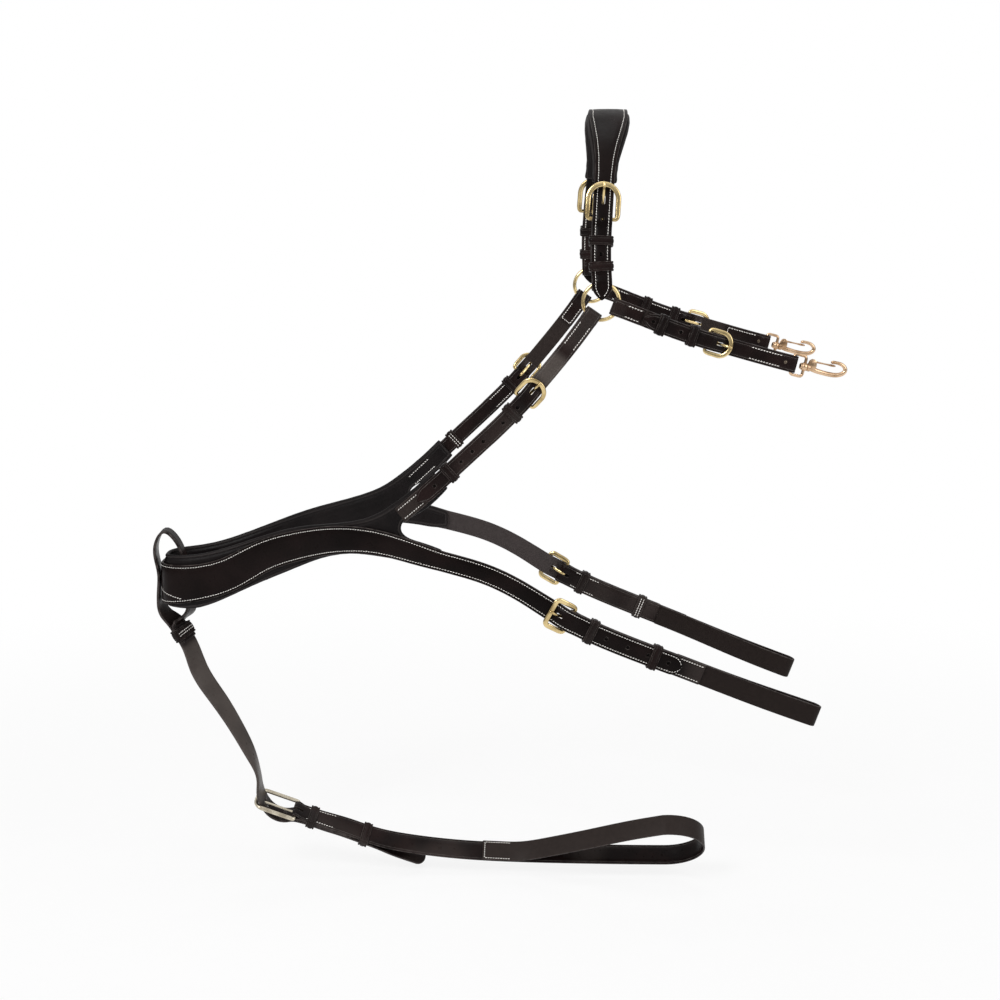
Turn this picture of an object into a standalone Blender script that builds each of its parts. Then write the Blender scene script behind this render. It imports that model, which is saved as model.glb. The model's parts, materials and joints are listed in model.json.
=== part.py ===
"""A hunting breastplate: padded chest piece, wither pad, shoulder, saddle and girth straps, martingale.

The horse faces -X, its near (left) side is at -Y, and +Z is up. The origin lies on the inner face
of the chest pad, at the middle of the horse's chest. Sizes are in millimetres, and each mesh is
made in metres. The near side is modelled, and the off side is its mirror image.

The chest pad and its straps lie round the horse as on a flat pattern: u is the distance round the
body from the middle of the chest, z is the height, and n is the distance out from the horse.
"""

import math
from dataclasses import dataclass

import bmesh
import bpy
import numpy as np
from mathutils import Matrix, Vector

for leftover in list(bpy.data.objects):
    bpy.data.objects.remove(leftover, do_unlink=True)

MM = 0.001
GAP = 0.3           # air left between pieces that touch
LEATHER_GAP = 0.4   # air between the chest pad and the strap sewn on it

# The line round the horse that the chest pad's outer face follows, seen from above: x, distance out
PLAN = [(-8, 0), (-8, 6), (-4, 18), (10, 28), (36, 33), (72, 36), (108, 42), (142, 54), (176, 72),
        (210, 91), (246, 106), (286, 116), (346, 120), (446, 121), (546, 118), (716, 110), (800, 105)]

# Routes of the straps' middle lines on the flat pattern: u, z
CHEST_ROUTE = [(0, 0), (51, 3), (96, 15), (131, 34), (178, 51), (245, 64), (276, 64), (305, 59),
               (345, 48), (399, 32), (437, 13), (475, -11), (538, -42), (608, -70), (695, -105),
               (770, -133)]
RING_SPOT = (518, 323)
SHOULDER_ROUTE = [RING_SPOT, (500, 297), (482, 273), (456, 241), (431, 212), (399, 180), (366, 149),
                  (336, 121), (305, 94)]
SADDLE_ROUTE = [RING_SPOT, (560, 307), (605, 290), (655, 275), (705, 261), (745, 251), (800, 239)]

# The near half of the wither strap's arch, from the ring to the top: x, y, z
WITHER_ARCH = [(475, -120.6, 340), (474, -119, 362), (474.5, -112, 392), (477, -100, 430), (480, -82, 466),
               (483, -59, 493), (485, -34, 510), (486, 0, 518)]

# Outline of the chest lining on the flat pattern, near half, from its top round to its bottom
LINING_TOP = [(0, 34), (30, 35), (63, 38), (97, 47), (132, 59), (178, 72), (245, 84), (277, 94),
              (298, 107), (316, 121), (341, 145)]
LINING_FORK = [(358, 126), (335, 103), (317, 92), (308, 85), (307, 77), (313, 71), (328, 66),
               (352, 62)]
LINING_BOTTOM = [(352, 35), (338, 37), (316, 42), (282, 46), (244, 46), (193, 32), (162, 18),
                 (131, 4), (96, -13), (62, -26), (30, -28), (0, -28)]
LINING_THICK = 8.0

# Leather straps: width and thickness
SHOULDER_WIDTH, SADDLE_WIDTH, WITHER_WIDTH = 18.0, 18.0, 21.0
GIRTH_WIDTH, MARTINGALE_WIDTH = 23.0, 24.0
STRAP_THICK = 2.8
CHEST_THICK = 3.0
WITHER_THICK = 3.0
MARTINGALE_THICK = 3.0
CHAPE_THICK = 2.0
GIRTH_LOOP_THICK = 2.4
CHEST_WIDTHS = [(0, 42), (20, 42), (62, 38), (131, 34), (245, 29), (320, 25), (350, 22), (440, 22),
                (475, GIRTH_WIDTH)]
WITHER_WIDTHS = [(0, 40), (35, 40), (54, 35.5), (78, 28), (98, 23), (117, WITHER_WIDTH)]
WITHER_PAD_WIDTHS = [(0, 49), (35, 49), (54, 46), (78, 38), (98, 31), (127, 27)]
WITHER_PAD_REACH = 127.0
WITHER_PAD_THICK = 8.0

# Keepers, the leather bands that hold the strap ends down
KEEPER_LENGTH, KEEPER_THICK, KEEPER_PLAY = 10.0, 1.8, 0.6

# Brass rings that the straps meet at
RING_RADIUS, RING_WIRE, RING_LEVEL = 19.0, 2.0, 1.5
RING_PLAY = 0.6

# Brass buckles: wire radius, room for the strap, distance between the bars
SMALL_WIRE, SMALL_ROOM, SMALL_REACH = 1.75, 20.0, 24.0
WITHER_WIRE, WITHER_ROOM, WITHER_REACH = 2.0, 26.0, 35.0
GIRTH_WIRE, GIRTH_ROOM, GIRTH_REACH = 2.0, 25.0, 22.0
MARTINGALE_WIRE, MARTINGALE_ROOM, MARTINGALE_REACH = 2.1, 26.0, 47.0
TONGUE_WIDTH, TONGUE_THICK = 3.0, 2.0
HOLE_RADIUS = 1.8

MARTINGALE_STATIONS = 76

# Where things lie on the flat pattern: u
GIRTH_HEEL, GIRTH_TIP, GIRTH_LOOP_END, GIRTH_LOOP_BACK = 487, 607, 758, 600
GIRTH_HOLES = (526, 549, 571, 593)

# Where things lie along their own strap: distance from its start
SHOULDER_HEEL, SHOULDER_TIP, SHOULDER_CHAPE_END, SHOULDER_TURNED_BACK = 131.0, 288, 313, 52
SHOULDER_HOLES = (141, 163, 192, 208, 224, 262)
WITHER_HEEL, WITHER_HOLES, WITHER_TURNED_BACK = 86.0, (84.0, 48.0), 45.5
SADDLE_HEEL, SADDLE_TIP, SADDLE_HOLES, SADDLE_TURNED_BACK = 119.0, 47, (89.0, 58.0), 46
SNAP_EYE_AT = 213.0

# Each chape's turned-back ply, from its buckle's heel bar to the end
GIRTH_FOLD, SHOULDER_FOLD, WITHER_FOLD, SADDLE_FOLD, MARTINGALE_FOLD = 146, 50, 39, 68, 70

# The fixed and the sliding keeper behind each buckle's heel bar
GIRTH_KEEPER, GIRTH_RUNNER = 26.0, 100.0
SHOULDER_KEEPER, SHOULDER_RUNNER = 18.0, 110.0
WITHER_KEEPER, WITHER_RUNNER = 24.0, 50.0
SADDLE_KEEPER, SADDLE_RUNNER = 16.5, 51.0
MARTINGALE_KEEPER, MARTINGALE_RUNNER = 20.0, 84.0

# Holes of the martingale strap over its buckle and behind it: distance out from the heel bar, height
MARTINGALE_TONGUE_HOLE, MARTINGALE_BEND_HOLE = (34.5, 4.3), (12.0, 12.5)
MARTINGALE_REST_HOLES = (36.0, 60.0)

# Snap hooks at the ends of the saddle straps
EYE_WIRE, EYE_HALF_WIDTH, EYE_REACH = 1.6, 11.0, 13.0

BROWN = ("leather", (0.022, 0.015, 0.013, 1), 0.45, 0.0)
LINING = ("lining", (0.016, 0.013, 0.012, 1), 0.55, 0.0)
BRASS = ("brass", (0.83, 0.66, 0.36, 1), 0.22, 1.0)


def material(recipe):
    """One shared material for each finish."""
    name, colour, roughness, metallic = recipe
    found = bpy.data.materials.get(name)
    if found:
        return found
    made = bpy.data.materials.new(name)
    made.use_nodes = True
    shader = made.node_tree.nodes["Principled BSDF"]
    shader.inputs["Base Color"].default_value = colour
    shader.inputs["Roughness"].default_value = roughness
    shader.inputs["Metallic"].default_value = metallic
    return made


STEPS = 24          # places worked out between two chosen points of a curve


class Spline:
    """A smooth curve through chosen points, measured by its own length."""

    def __init__(self, points, steps=STEPS):
        points = np.asarray(points, float)
        span = np.linalg.norm(np.diff(points, axis=0), axis=1)
        count = len(points)
        system, known = np.eye(count), np.zeros_like(points)
        for i in range(1, count - 1):
            system[i, i - 1:i + 2] = span[i - 1], 2 * (span[i - 1] + span[i]), span[i]
            rise = (points[i + 1] - points[i]) / span[i] - (points[i] - points[i - 1]) / span[i - 1]
            known[i] = 6 * rise
        bend = np.linalg.solve(system, known)
        runs = [points[:1]]
        for i in range(count - 1):
            t = np.linspace(0, 1, steps + 1)[1:, None]
            a, b, h = 1 - t, t, span[i]
            curve = a * points[i] + b * points[i + 1]
            runs.append(curve + h * h / 6 * ((a ** 3 - a) * bend[i] + (b ** 3 - b) * bend[i + 1]))
        self.points = np.vstack(runs)
        self.along = np.r_[0, np.cumsum(np.linalg.norm(np.diff(self.points, axis=0), axis=1))]


class Chest:
    """The upright surface round the horse that the flat pattern is wrapped on."""

    def __init__(self, plan):
        mirrored = [(x, -y) for x, y in plan[:0:-1]]
        curve = Spline(mirrored + list(plan))
        middle = (len(plan) - 1) * STEPS
        self.points = curve.points[middle:]
        self.along = curve.along[middle:] - curve.along[middle]
        heading = np.gradient(self.points, axis=0)
        heading /= np.linalg.norm(heading, axis=1)[:, None]
        self.outward = np.column_stack([-heading[:, 1], heading[:, 0]])
        self.outward[self.along < 6.5] = (-1, 0)

    def place(self, u, z, n=0.0):
        """The near side's place for u above 0, the off side's for u below 0."""
        x, y = (np.interp(abs(u), self.along, self.points[:, i]) for i in (0, 1))
        out = self.direction(u)
        side = -1 if u >= 0 else 1
        return np.array([x, side * y, z]) + n * out

    def direction(self, u):
        x, y = (np.interp(abs(u), self.along, self.outward[:, i]) for i in (0, 1))
        out = np.array([x, (-1 if u >= 0 else 1) * y, 0])
        return out / np.linalg.norm(out)


CHEST = Chest(PLAN)


class Route:
    """A strap's base line: a place, a heading, a width direction and an outward one at each distance."""

    def __init__(self, places, outward):
        self.places = np.asarray(places, float)
        self.along = np.r_[0, np.cumsum(np.linalg.norm(np.diff(self.places, axis=0), axis=1))]
        self.length = self.along[-1]
        heading = np.gradient(self.places, axis=0)
        self.heading = heading / np.linalg.norm(heading, axis=1)[:, None]
        out = np.asarray(outward, float)
        out = out - np.sum(out * self.heading, axis=1)[:, None] * self.heading
        self.outward = out / np.linalg.norm(out, axis=1)[:, None]

    @classmethod
    def wrapped(cls, points):
        """A route drawn on the flat pattern."""
        line = Spline(points).points
        route = cls([CHEST.place(u, z) for u, z in line], [CHEST.direction(u) for u, z in line])
        route.pattern = line[:, 0]
        return route

    @classmethod
    def by_width(cls, places, widths):
        """A route in space, with the width direction that the strap has at each of its points."""
        curve = Spline(np.column_stack([places, np.asarray(widths) * 10]))
        line, across = curve.points[:, :3], curve.points[:, 3:]
        return cls(line, np.cross(across, np.gradient(line, axis=0)))

    def read(self, values, s):
        return np.array([np.interp(s, self.along, column) for column in values.T])

    def frame(self, s):
        """Heading, width direction and outward direction at a distance."""
        t, n = self.read(self.heading, s), self.read(self.outward, s)
        t = t / np.linalg.norm(t)
        n = n - n.dot(t) * t
        n = n / np.linalg.norm(n)
        return t, np.cross(n, t), n

    def place(self, s, b=0.0, n=0.0):
        t, across, out = self.frame(s)
        inside = min(max(s, 0), self.length)
        return self.read(self.places, inside) + (s - inside) * t + b * across + n * out

    def where(self, u):
        """The distance at which the route reaches u on the flat pattern."""
        return float(np.interp(u, self.pattern, self.along))


def vec(point):
    return Vector(point) * MM


def eased(knots, coarse=16.0, fine=3.4):
    """Stations through (s, n) knots, level where two knots agree and a soft step where they don't."""
    stations = [knots[0]]
    for (s0, n0), (s1, n1) in zip(knots, knots[1:]):
        level = abs(n1 - n0) < 1e-6
        count = max(1 if level else 3, math.ceil(abs(s1 - s0) / (coarse if level else fine)))
        for i in range(1, count + 1):
            f = i / count
            stations.append((s0 + f * (s1 - s0), n0 + (1 - math.cos(math.pi * f)) / 2 * (n1 - n0)))
    return stations


def arc(centre, radius, start, end, steps=6):
    """Stations on an arc, with angles in degrees from the +s direction towards +n."""
    turn = [math.radians(start + (end - start) * i / steps) for i in range(steps + 1)]
    return [(centre[0] + radius * math.cos(a), centre[1] + radius * math.sin(a)) for a in turn]


def sweep(bm, sections):
    """One closed solid: a face extruded from section to section."""
    first = face = bm.faces.new([bm.verts.new(vec(corner)) for corner in sections[0]])
    for section in sections[1:]:
        made = bmesh.ops.extrude_face_region(bm, geom=[face])["geom"]
        cap = next(item for item in made if isinstance(item, bmesh.types.BMFace))
        for vert, corner in zip(cap.verts, section):
            vert.co = vec(corner)
        if face is not first:
            bm.faces.remove(face)
        face = cap


def finished(bm):
    """The mesh of a modelled solid, its faces turned outwards."""
    bmesh.ops.recalc_face_normals(bm, faces=bm.faces)
    mesh = bpy.data.meshes.new("solid")
    bm.to_mesh(mesh)
    bm.free()
    return mesh


TIP = [(0.0, 0.22), (2.5, 0.55), (6.0, 0.8), (11.0, 1.0)]


def strap(route, run, width, thick, tips=(False, False)):
    """A strap: a rectangle swept along its run of (s, n) stations. tips shape its two ends."""
    run = np.asarray(run, float)
    step = np.gradient(run, axis=0)
    step /= np.linalg.norm(step, axis=1)[:, None]
    along = np.r_[0, np.cumsum(np.linalg.norm(np.diff(run, axis=0), axis=1))]
    ends = (along, along[-1] - along)
    bm = bmesh.new()
    sections = []
    for i, (s, n) in enumerate(run):
        t, across, out = route.frame(s)
        side = (-step[i, 1] * t + step[i, 0] * out) * thick / 2
        half = (width(s) if callable(width) else width) / 2
        for wanted, end in zip(tips, ends):
            if wanted:
                half *= float(np.interp(end[i], *zip(*TIP)))
        middle, edge = route.place(s, 0, n), across * half
        sections.append([middle + edge + side, middle - edge + side, middle - edge - side,
                         middle + edge - side])
    sweep(bm, sections)
    return finished(bm)


def with_tip_stations(stations):
    """Closer stations near the last one, where the strap's point is shaped."""
    (s0, n0), (s1, n1) = stations[-2:]
    way = 1 if s1 > s0 else -1
    kept = [p for p in stations if (s1 - p[0]) * way > 12]
    return kept + [(s1 - way * back, n1) for back in (11.0, 6.0, 2.5, 0.0)]


def tube(points, radius, closed=False, resolution=2):
    """A round wire along a list of places."""
    data = bpy.data.curves.new("wire", "CURVE")
    data.dimensions = "3D"
    data.bevel_depth = radius * MM
    data.bevel_resolution = resolution
    data.use_fill_caps = not closed
    line = data.splines.new("POLY")
    line.points.add(len(points) - 1)
    for spot, place in zip(line.points, points):
        spot.co = (*vec(place), 1)
    line.use_cyclic_u = closed
    return evaluated(bpy.data.objects.new("wire", data))


def evaluated(obj):
    """The object's mesh as the viewport shows it; the object itself is removed."""
    bpy.context.collection.objects.link(obj)
    bpy.context.view_layer.update()
    graph = bpy.context.evaluated_depsgraph_get()
    mesh = bpy.data.meshes.new_from_object(obj.evaluated_get(graph))
    bpy.data.objects.remove(obj, do_unlink=True)
    return mesh


def combine(mesh, other, operation):
    """A Boolean of two closed meshes."""
    body = bpy.data.objects.new("body", mesh)
    tool = bpy.data.objects.new("tool", other)
    bpy.context.collection.objects.link(tool)
    step = body.modifiers.new("boolean", "BOOLEAN")
    step.operation = operation
    step.solver = "EXACT"
    step.object = tool
    result = evaluated(body)
    bpy.data.objects.remove(tool, do_unlink=True)
    return result


def prism(route, s, n, half_s, half_b, depth, sides=8, tilt=0.0):
    """A punch: an upright oval bar through a strap, half_s along it and half_b across."""
    t, across, out = route.frame(s)
    turn = math.radians(tilt)
    t, out = math.cos(turn) * t + math.sin(turn) * out, math.cos(turn) * out - math.sin(turn) * t
    middle = route.place(s, 0, n)
    shift = max(half_s - half_b, 0)
    corners = []
    for i in range(sides):
        a = 2 * math.pi * (i + 0.5) / sides
        push = shift if math.cos(a) > 0 else -shift
        corners.append((push + min(half_s, half_b) * math.cos(a), half_b * math.sin(a)))
    bm = bmesh.new()
    sweep(bm, [[middle + a * t + b * across + side * depth / 2 * out for a, b in corners]
               for side in (-1, 1)])
    return finished(bm)


def joined(meshes):
    """Several meshes as one."""
    bm = bmesh.new()
    for mesh in meshes:
        bm.from_mesh(mesh)
    mesh = bpy.data.meshes.new("joined")
    bm.to_mesh(mesh)
    bm.free()
    return mesh


def band(route, s, low, high, width, length=KEEPER_LENGTH):
    """A keeper: a closed leather band round a stack of straps that lies between two levels."""
    t, across, out = route.frame(s)
    middle = route.place(s)
    half, corner = width / 2 + KEEPER_PLAY, 1.0
    low, high = low - KEEPER_PLAY, high + KEEPER_PLAY
    bm = bmesh.new()
    loops = []
    for grow in (0.0, KEEPER_THICK):
        verts = []
        for quadrant, (b, n) in enumerate(((1, 1), (-1, 1), (-1, -1), (1, -1))):
            pivot_b = b * (half - corner)
            pivot_n = (high - corner) if n > 0 else (low + corner)
            for i in range(3):
                a = math.radians(90 * quadrant + 45 * i)
                reach = corner + grow
                spot = (pivot_b + reach * math.cos(a)) * across + (pivot_n + reach * math.sin(a)) * out
                verts.append(bm.verts.new(vec(middle + spot - t * length / 2)))
        loops += [bm.edges.new((a, b)) for a, b in zip(verts, verts[1:] + verts[:1])]
    bmesh.ops.bridge_loops(bm, edges=loops)
    grown = bmesh.ops.extrude_face_region(bm, geom=list(bm.faces))["geom"]
    verts = [item for item in grown if isinstance(item, bmesh.types.BMVert)]
    bmesh.ops.translate(bm, verts=verts, vec=vec(t * length))
    return finished(bm)


@dataclass
class Fastening:
    """A buckle and what it holds: a chape folded round its heel bar and a billet over it.

    d runs from the heel bar towards the outer bar, and h is the height over the heel bar's axis.
    """

    route: Route
    heel: float          # the heel bar's distance along the route
    way: int             # +1 if the outer bar is further along the route, -1 if it is nearer
    level: float         # n of the heel bar's axis, the middle of the chape's two plies
    wire: float
    room: float
    reach: float
    chape: float         # thickness of the chape
    billet: float        # thickness of the billet
    billet_width: float
    arched: bool = True
    billet_in: float = 0.5   # h of the billet's middle where it passes the outer bar
    fold: float = 40.0       # length of the chape's turned-back ply
    drops: bool = False      # whether the billet reaches past the turned-back ply, and comes down

    def __post_init__(self):
        self.turn = self.wire + GAP + self.chape / 2
        self.ply = (self.chape + GAP) / 2
        self.top = self.turn + self.chape / 2 + GAP + self.billet / 2
        self.rest = self.ply + self.chape / 2 + GAP + self.billet / 2
        self.low = self.rest - self.chape - GAP
        self.root = self.wire + GAP + TONGUE_THICK / 2
        self.half = self.room / 2 + self.wire
        self.bow = 0.42 * self.reach if self.arched else 0.0
        self.bar = max(self.clear_bar(b) for b in np.linspace(0, self.billet_width / 2, 6))

    def outline(self, b):
        """d of the frame's outer bar at b across."""
        if not self.arched:
            return self.reach
        return self.reach - self.bow + self.bow * math.sqrt(max(0.0, 1 - (b / self.half) ** 2))

    def clear_bar(self, b):
        """Height of the outer bar that keeps the frame clear of the billet at b across."""
        d = self.outline(b)
        return (self.billet_at(d) + self.billet / 2 + 1.6 * GAP + self.wire) * self.reach / d

    def billet_at(self, d):
        """The billet's middle between the bars."""
        far, near = self.reach + 2.0, 1.5
        f = min(max((far - d) / (far - near), 0), 1)
        return self.billet_in + (1 - math.cos(math.pi * f)) / 2 * (self.top - self.billet_in)

    def to_route(self, points):
        return [(self.heel + self.way * d, self.level + h) for d, h in points]

    def chape_wrap(self):
        """The chape's run: turned-back ply, round the heel bar, to the lower ply."""
        upper = eased([(-self.fold, self.ply), (-8, self.ply), (0, self.turn)])
        lower = eased([(0, -self.turn), (-8, -self.ply)])
        return self.to_route(upper[:-1] + arc((0, 0), self.turn, 90, -90) + lower[1:])

    def billet_run(self):
        """The billet's run from outside the outer bar, over the heel bar, to past the chape's end."""
        knots = [(self.reach + 12, self.billet_in), (self.reach + 2, self.billet_in),
                 (1.5, self.top), (-1.5, self.top), (-11, self.rest)]
        if self.drops:
            knots += [(-self.fold - 1, self.rest), (-self.fold - 10, self.low)]
        return self.to_route(eased(knots))

    def frame_mesh(self):
        """The brass frame."""
        corner = 2.5
        line = []
        for quadrant, (b, d) in enumerate(((-1, 0), (1, 0))):
            for i in range(3):
                a = math.radians(180 + 90 * quadrant + 45 * i)
                line.append((b * (self.half - corner) + corner * math.cos(a),
                             corner + corner * math.sin(a)))
        if self.arched:
            for i in range(9):
                a = math.pi * i / 8
                line.append((self.half * math.cos(a), self.reach - self.bow + self.bow * math.sin(a)))
        else:
            corner = 3.5
            for quadrant, b in enumerate((1, -1)):
                for i in range(3):
                    a = math.radians(90 * quadrant + 45 * i)
                    line.append((b * (self.half - corner) + corner * math.cos(a),
                                 self.reach - corner + corner * math.sin(a)))
        t, across, out = self.route.frame(self.heel)
        centre = self.route.place(self.heel, 0, self.level)
        places = [centre + b * across + d * self.way * t + self.bar * d / self.reach * out
                  for b, d in line]
        return tube(places, self.wire, closed=True)

    def tongue_line(self):
        """The tongue: curled round the heel bar, up through the billet, resting on the outer bar."""
        seat = self.bar + self.wire + GAP + TONGUE_THICK / 2
        through = self.billet / 2 + TONGUE_THICK / 2
        d1, d2 = 0.48 * self.reach, 0.70 * self.reach
        curl = arc((0, 0), self.root, 75, 270, 6)
        shaft = [(0.25 * self.reach, 0.5 * (self.billet_at(d1) - through - 0.6 - self.root)),
                 (d1, self.billet_at(d1) - through - 0.6), (d2, self.billet_at(d2) + through + 0.3),
                 (self.reach - 1.5, seat), (self.reach + self.wire + 0.6, seat - 0.2)]
        return curl + shaft

    def tongue_mesh(self, line=None):
        """The tongue's mesh, narrower at its tip, about the heel bar's frame."""
        t, across, out = self.route.frame(self.heel)
        centre = self.route.place(self.heel, 0, self.level)
        line = np.asarray(line or self.tongue_line())
        step = np.gradient(line, axis=0)
        step /= np.linalg.norm(step, axis=1)[:, None]
        bm = bmesh.new()
        sections = []
        for i, (d, h) in enumerate(line):
            side = (-step[i, 1] * self.way * t + step[i, 0] * out) * TONGUE_THICK / 2
            edge = across * TONGUE_WIDTH / 2 * (0.7 if i == len(line) - 1 else 1.0)
            middle = centre + d * self.way * t + h * out
            sections.append([middle + edge + side, middle - edge + side, middle - edge - side,
                             middle + edge - side])
        sweep(bm, sections)
        return finished(bm)

    def tongue_hole(self):
        """The long hole that the tongue goes through, with room for its lift."""
        d = 0.56 * self.reach
        room = 0.185 * self.reach + 0.2
        s, n = self.to_route([(d, self.billet_at(d))])[0]
        slope = math.degrees(math.atan2(self.billet_at(d - 1) - self.billet_at(d + 1), 2)) * -self.way
        return prism(self.route, s, n, room, TONGUE_WIDTH / 2 + 0.5, 12, 8, slope)

    def chape_slot(self):
        """The slot in the chape's fold for the tongue."""
        d, reach = -0.5, 7.5
        s, n = self.to_route([(d, 0)])[0]
        return prism(self.route, s, n, reach, TONGUE_WIDTH / 2 + 0.5, 14, 8)

    def pivot(self):
        """The heel bar's middle, and the axis about which the tongue lifts."""
        t, across, out = self.route.frame(self.heel)
        return self.route.place(self.heel, 0, self.level), -self.way * across

    def stack(self, d):
        """Lowest and highest level of the leather that a keeper at d goes round."""
        top = self.low if self.drops and -d > self.fold else self.rest
        return (self.level - self.ply - self.chape / 2, self.level + top + self.billet / 2)

    def keeper(self, d, width):
        low, high = self.stack(d)
        return band(self.route, self.heel + self.way * d, low, high, width)


def ring_fold(width, thick, upper, lower):
    """A strap end folded round a ring: from the lower ply, round the wire, to the upper ply.

    upper and lower are the two plies' levels once they have closed up behind the wire.
    """
    half = width / 2
    wire_at = math.sqrt(RING_RADIUS ** 2 - half ** 2)
    inner = wire_at - RING_WIRE * RING_RADIUS / wire_at - RING_PLAY
    bend = RING_WIRE + RING_PLAY + thick / 2
    centre = inner + RING_WIRE + RING_PLAY
    behind = RING_RADIUS + RING_WIRE + RING_PLAY
    closed = behind + 5.5
    under = eased([(closed, lower), (behind, RING_LEVEL - bend), (centre, RING_LEVEL - bend)])
    over = eased([(centre, RING_LEVEL + bend), (behind, RING_LEVEL + bend), (closed, upper)])
    return under[:-1] + arc((centre, RING_LEVEL), bend, 270, 90) + over[1:]


OBJECTS = []


def add(name, mesh, recipe, pivot=None, axis=None):
    """One named sub-part. A moving one has its origin on its joint's axis."""
    obj = bpy.data.objects.new(name, mesh)
    mesh.name = name
    mesh.materials.clear()
    mesh.materials.append(material(recipe))
    if pivot is not None:
        place = vec(pivot)
        mesh.transform(Matrix.Translation(-place))
        obj.location = place
        obj["joint_axis"] = [float(value) for value in axis]
    mesh.shade_smooth()
    mesh.set_sharp_from_angle(angle=math.radians(35))
    bpy.context.collection.objects.link(obj)
    OBJECTS.append(obj)
    return obj


def mirror_image(mesh):
    """A near side mesh as it is on the off side."""
    mirrored = mesh.copy()
    mirrored.transform(Matrix.Diagonal((1, -1, 1, 1)))
    mirrored.flip_normals()
    return mirrored


def add_pair(stem, mesh, recipe, pivot=None, axis=None):
    """The near piece and its mirror image on the off side."""
    mirrored = mirror_image(mesh)
    add("near_" + stem, mesh, recipe, pivot, axis)
    if pivot is not None:
        pivot = (pivot[0], -pivot[1], pivot[2])
        axis = (-axis[0], axis[1], -axis[2])
    add("off_" + stem, mirrored, recipe, pivot, axis)


def punched(mesh, punches):
    """The mesh with its holes cut out."""
    return combine(mesh, joined(punches), "DIFFERENCE")


def both_sides(mesh, punches):
    """A mesh that spans both sides, with the near side's holes and their mirror images."""
    near = joined(punches)
    return punched(mesh, [near, mirror_image(near)])


def holes(route, places):
    """Round holes through a strap at the given (s, n) places."""
    return [prism(route, s, n, HOLE_RADIUS, HOLE_RADIUS, 8) for s, n in places]


# Where the chest pad and its strap bend round the horse: u, closest over the middle of the chest
CUTS = [6, 10, 14, 18, 22, 26, 30, 35, 42, 50, 60, 73, 88, 104, 118, 131, 147, 162, 177, 193, 209,
        225, 241, 257, 273, 289, 305, 320, 335]
# Where the chest strap bends between the pad's fork and its buckle, and the least step before the buckle
STRAP_CUTS = [352, 370, 388, 406, 424, 440]
CUT_STEP = 6.0

CHEST_LINE = Route.wrapped([(-u, z) for u, z in CHEST_ROUTE[:0:-1]] + CHEST_ROUTE)
SHOULDER_LINE = Route.wrapped(SHOULDER_ROUTE)
SADDLE_LINE = Route.wrapped(SADDLE_ROUTE)
RING_PLACE = CHEST.place(*RING_SPOT)


def wither_line():
    """The arch from the near ring over the withers to the off ring."""
    near = [tuple(RING_PLACE)] + WITHER_ARCH
    off = [(x, -y, z) for x, y, z in near[-2::-1]]
    line = Spline(near + off).points
    heading = np.gradient(line, axis=0)
    return Route(line, np.cross(heading, (-1, 0, 0)))


WITHER_LINE = wither_line()
WITHER_MIDDLE = WITHER_LINE.length / 2


def chest_lining():
    """The padded lining: its flat outline, thickened, cut into strips and wrapped round the chest."""
    half = LINING_TOP[1:] + LINING_FORK + LINING_BOTTOM[:-1]
    outline = half + [(-u, z) for u, z in reversed(half)]
    bm = bmesh.new()
    face = bm.faces.new([bm.verts.new((u, z, 0)) for u, z in outline])
    grown = bmesh.ops.extrude_face_region(bm, geom=[face])["geom"]
    verts = [item for item in grown if isinstance(item, bmesh.types.BMVert)]
    bmesh.ops.translate(bm, verts=verts, vec=(0, 0, -LINING_THICK))
    for u in [-c for c in CUTS] + CUTS:
        geom = list(bm.verts) + list(bm.edges) + list(bm.faces)
        bmesh.ops.bisect_plane(bm, geom=geom, dist=1e-5, plane_co=(u, 0, 0), plane_no=(1, 0, 0))
    for vert in bm.verts:
        u, z, n = vert.co
        vert.co = vec(CHEST.place(u, z, n))
    bmesh.ops.triangulate(bm, faces=[f for f in bm.faces if len(f.verts) > 4])
    return finished(bm)


def girth_fastening():
    level = LEATHER_GAP + CHEST_THICK / 2 - 0.5
    return Fastening(CHEST_LINE, CHEST_LINE.where(GIRTH_HEEL), -1, level, GIRTH_WIRE, GIRTH_ROOM, GIRTH_REACH,
                     GIRTH_LOOP_THICK, CHEST_THICK, GIRTH_WIDTH, arched=False, fold=GIRTH_FOLD)


def chest_strap(girth):
    """The raised strap across the chest, whose two ends are the girth billets."""
    line, middle = CHEST_LINE, CHEST_LINE.where(0)
    level = LEATHER_GAP + CHEST_THICK / 2
    tip = line.where(GIRTH_TIP)
    billet = girth.billet_run()
    stations = [line.where(u) for u in CUTS + STRAP_CUTS]
    near = [(s, level) for s in stations if s < billet[0][0] - CUT_STEP] + billet
    near += eased([billet[-1], (tip, billet[-1][1])])[1:]
    near = with_tip_stations(near)
    off = [(2 * middle - s, n) for s, n in reversed(near)]

    def width(s):
        u = abs(float(np.interp(s, line.along, line.pattern)))
        return float(np.interp(u, *zip(*CHEST_WIDTHS)))

    mesh = strap(line, off + near, width, CHEST_THICK, (True, True))
    level = girth.level + girth.rest
    punches = holes(line, [(line.where(u), level) for u in GIRTH_HOLES])
    return both_sides(mesh, punches + [girth.tongue_hole()])


def loop_run(fastening, end, opening, back, plateau):
    """A girth loop: from the buckle along the lower ply, round an open end, back along the inside."""
    level = fastening.level - fastening.ply
    inner = level - fastening.chape - GAP
    wrap = fastening.chape_wrap()
    radius = opening / 2
    out = eased([wrap[-1], (end - plateau, level), (end - radius, level + 0.001)])[1:]
    turn = arc((end - radius, level - radius), radius, 90, -90, 9)
    home = eased([(end - radius, level - opening), (back + 16, inner), (back, inner)], fine=12.0)
    return wrap + out[:-1] + turn + home[1:]


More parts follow.
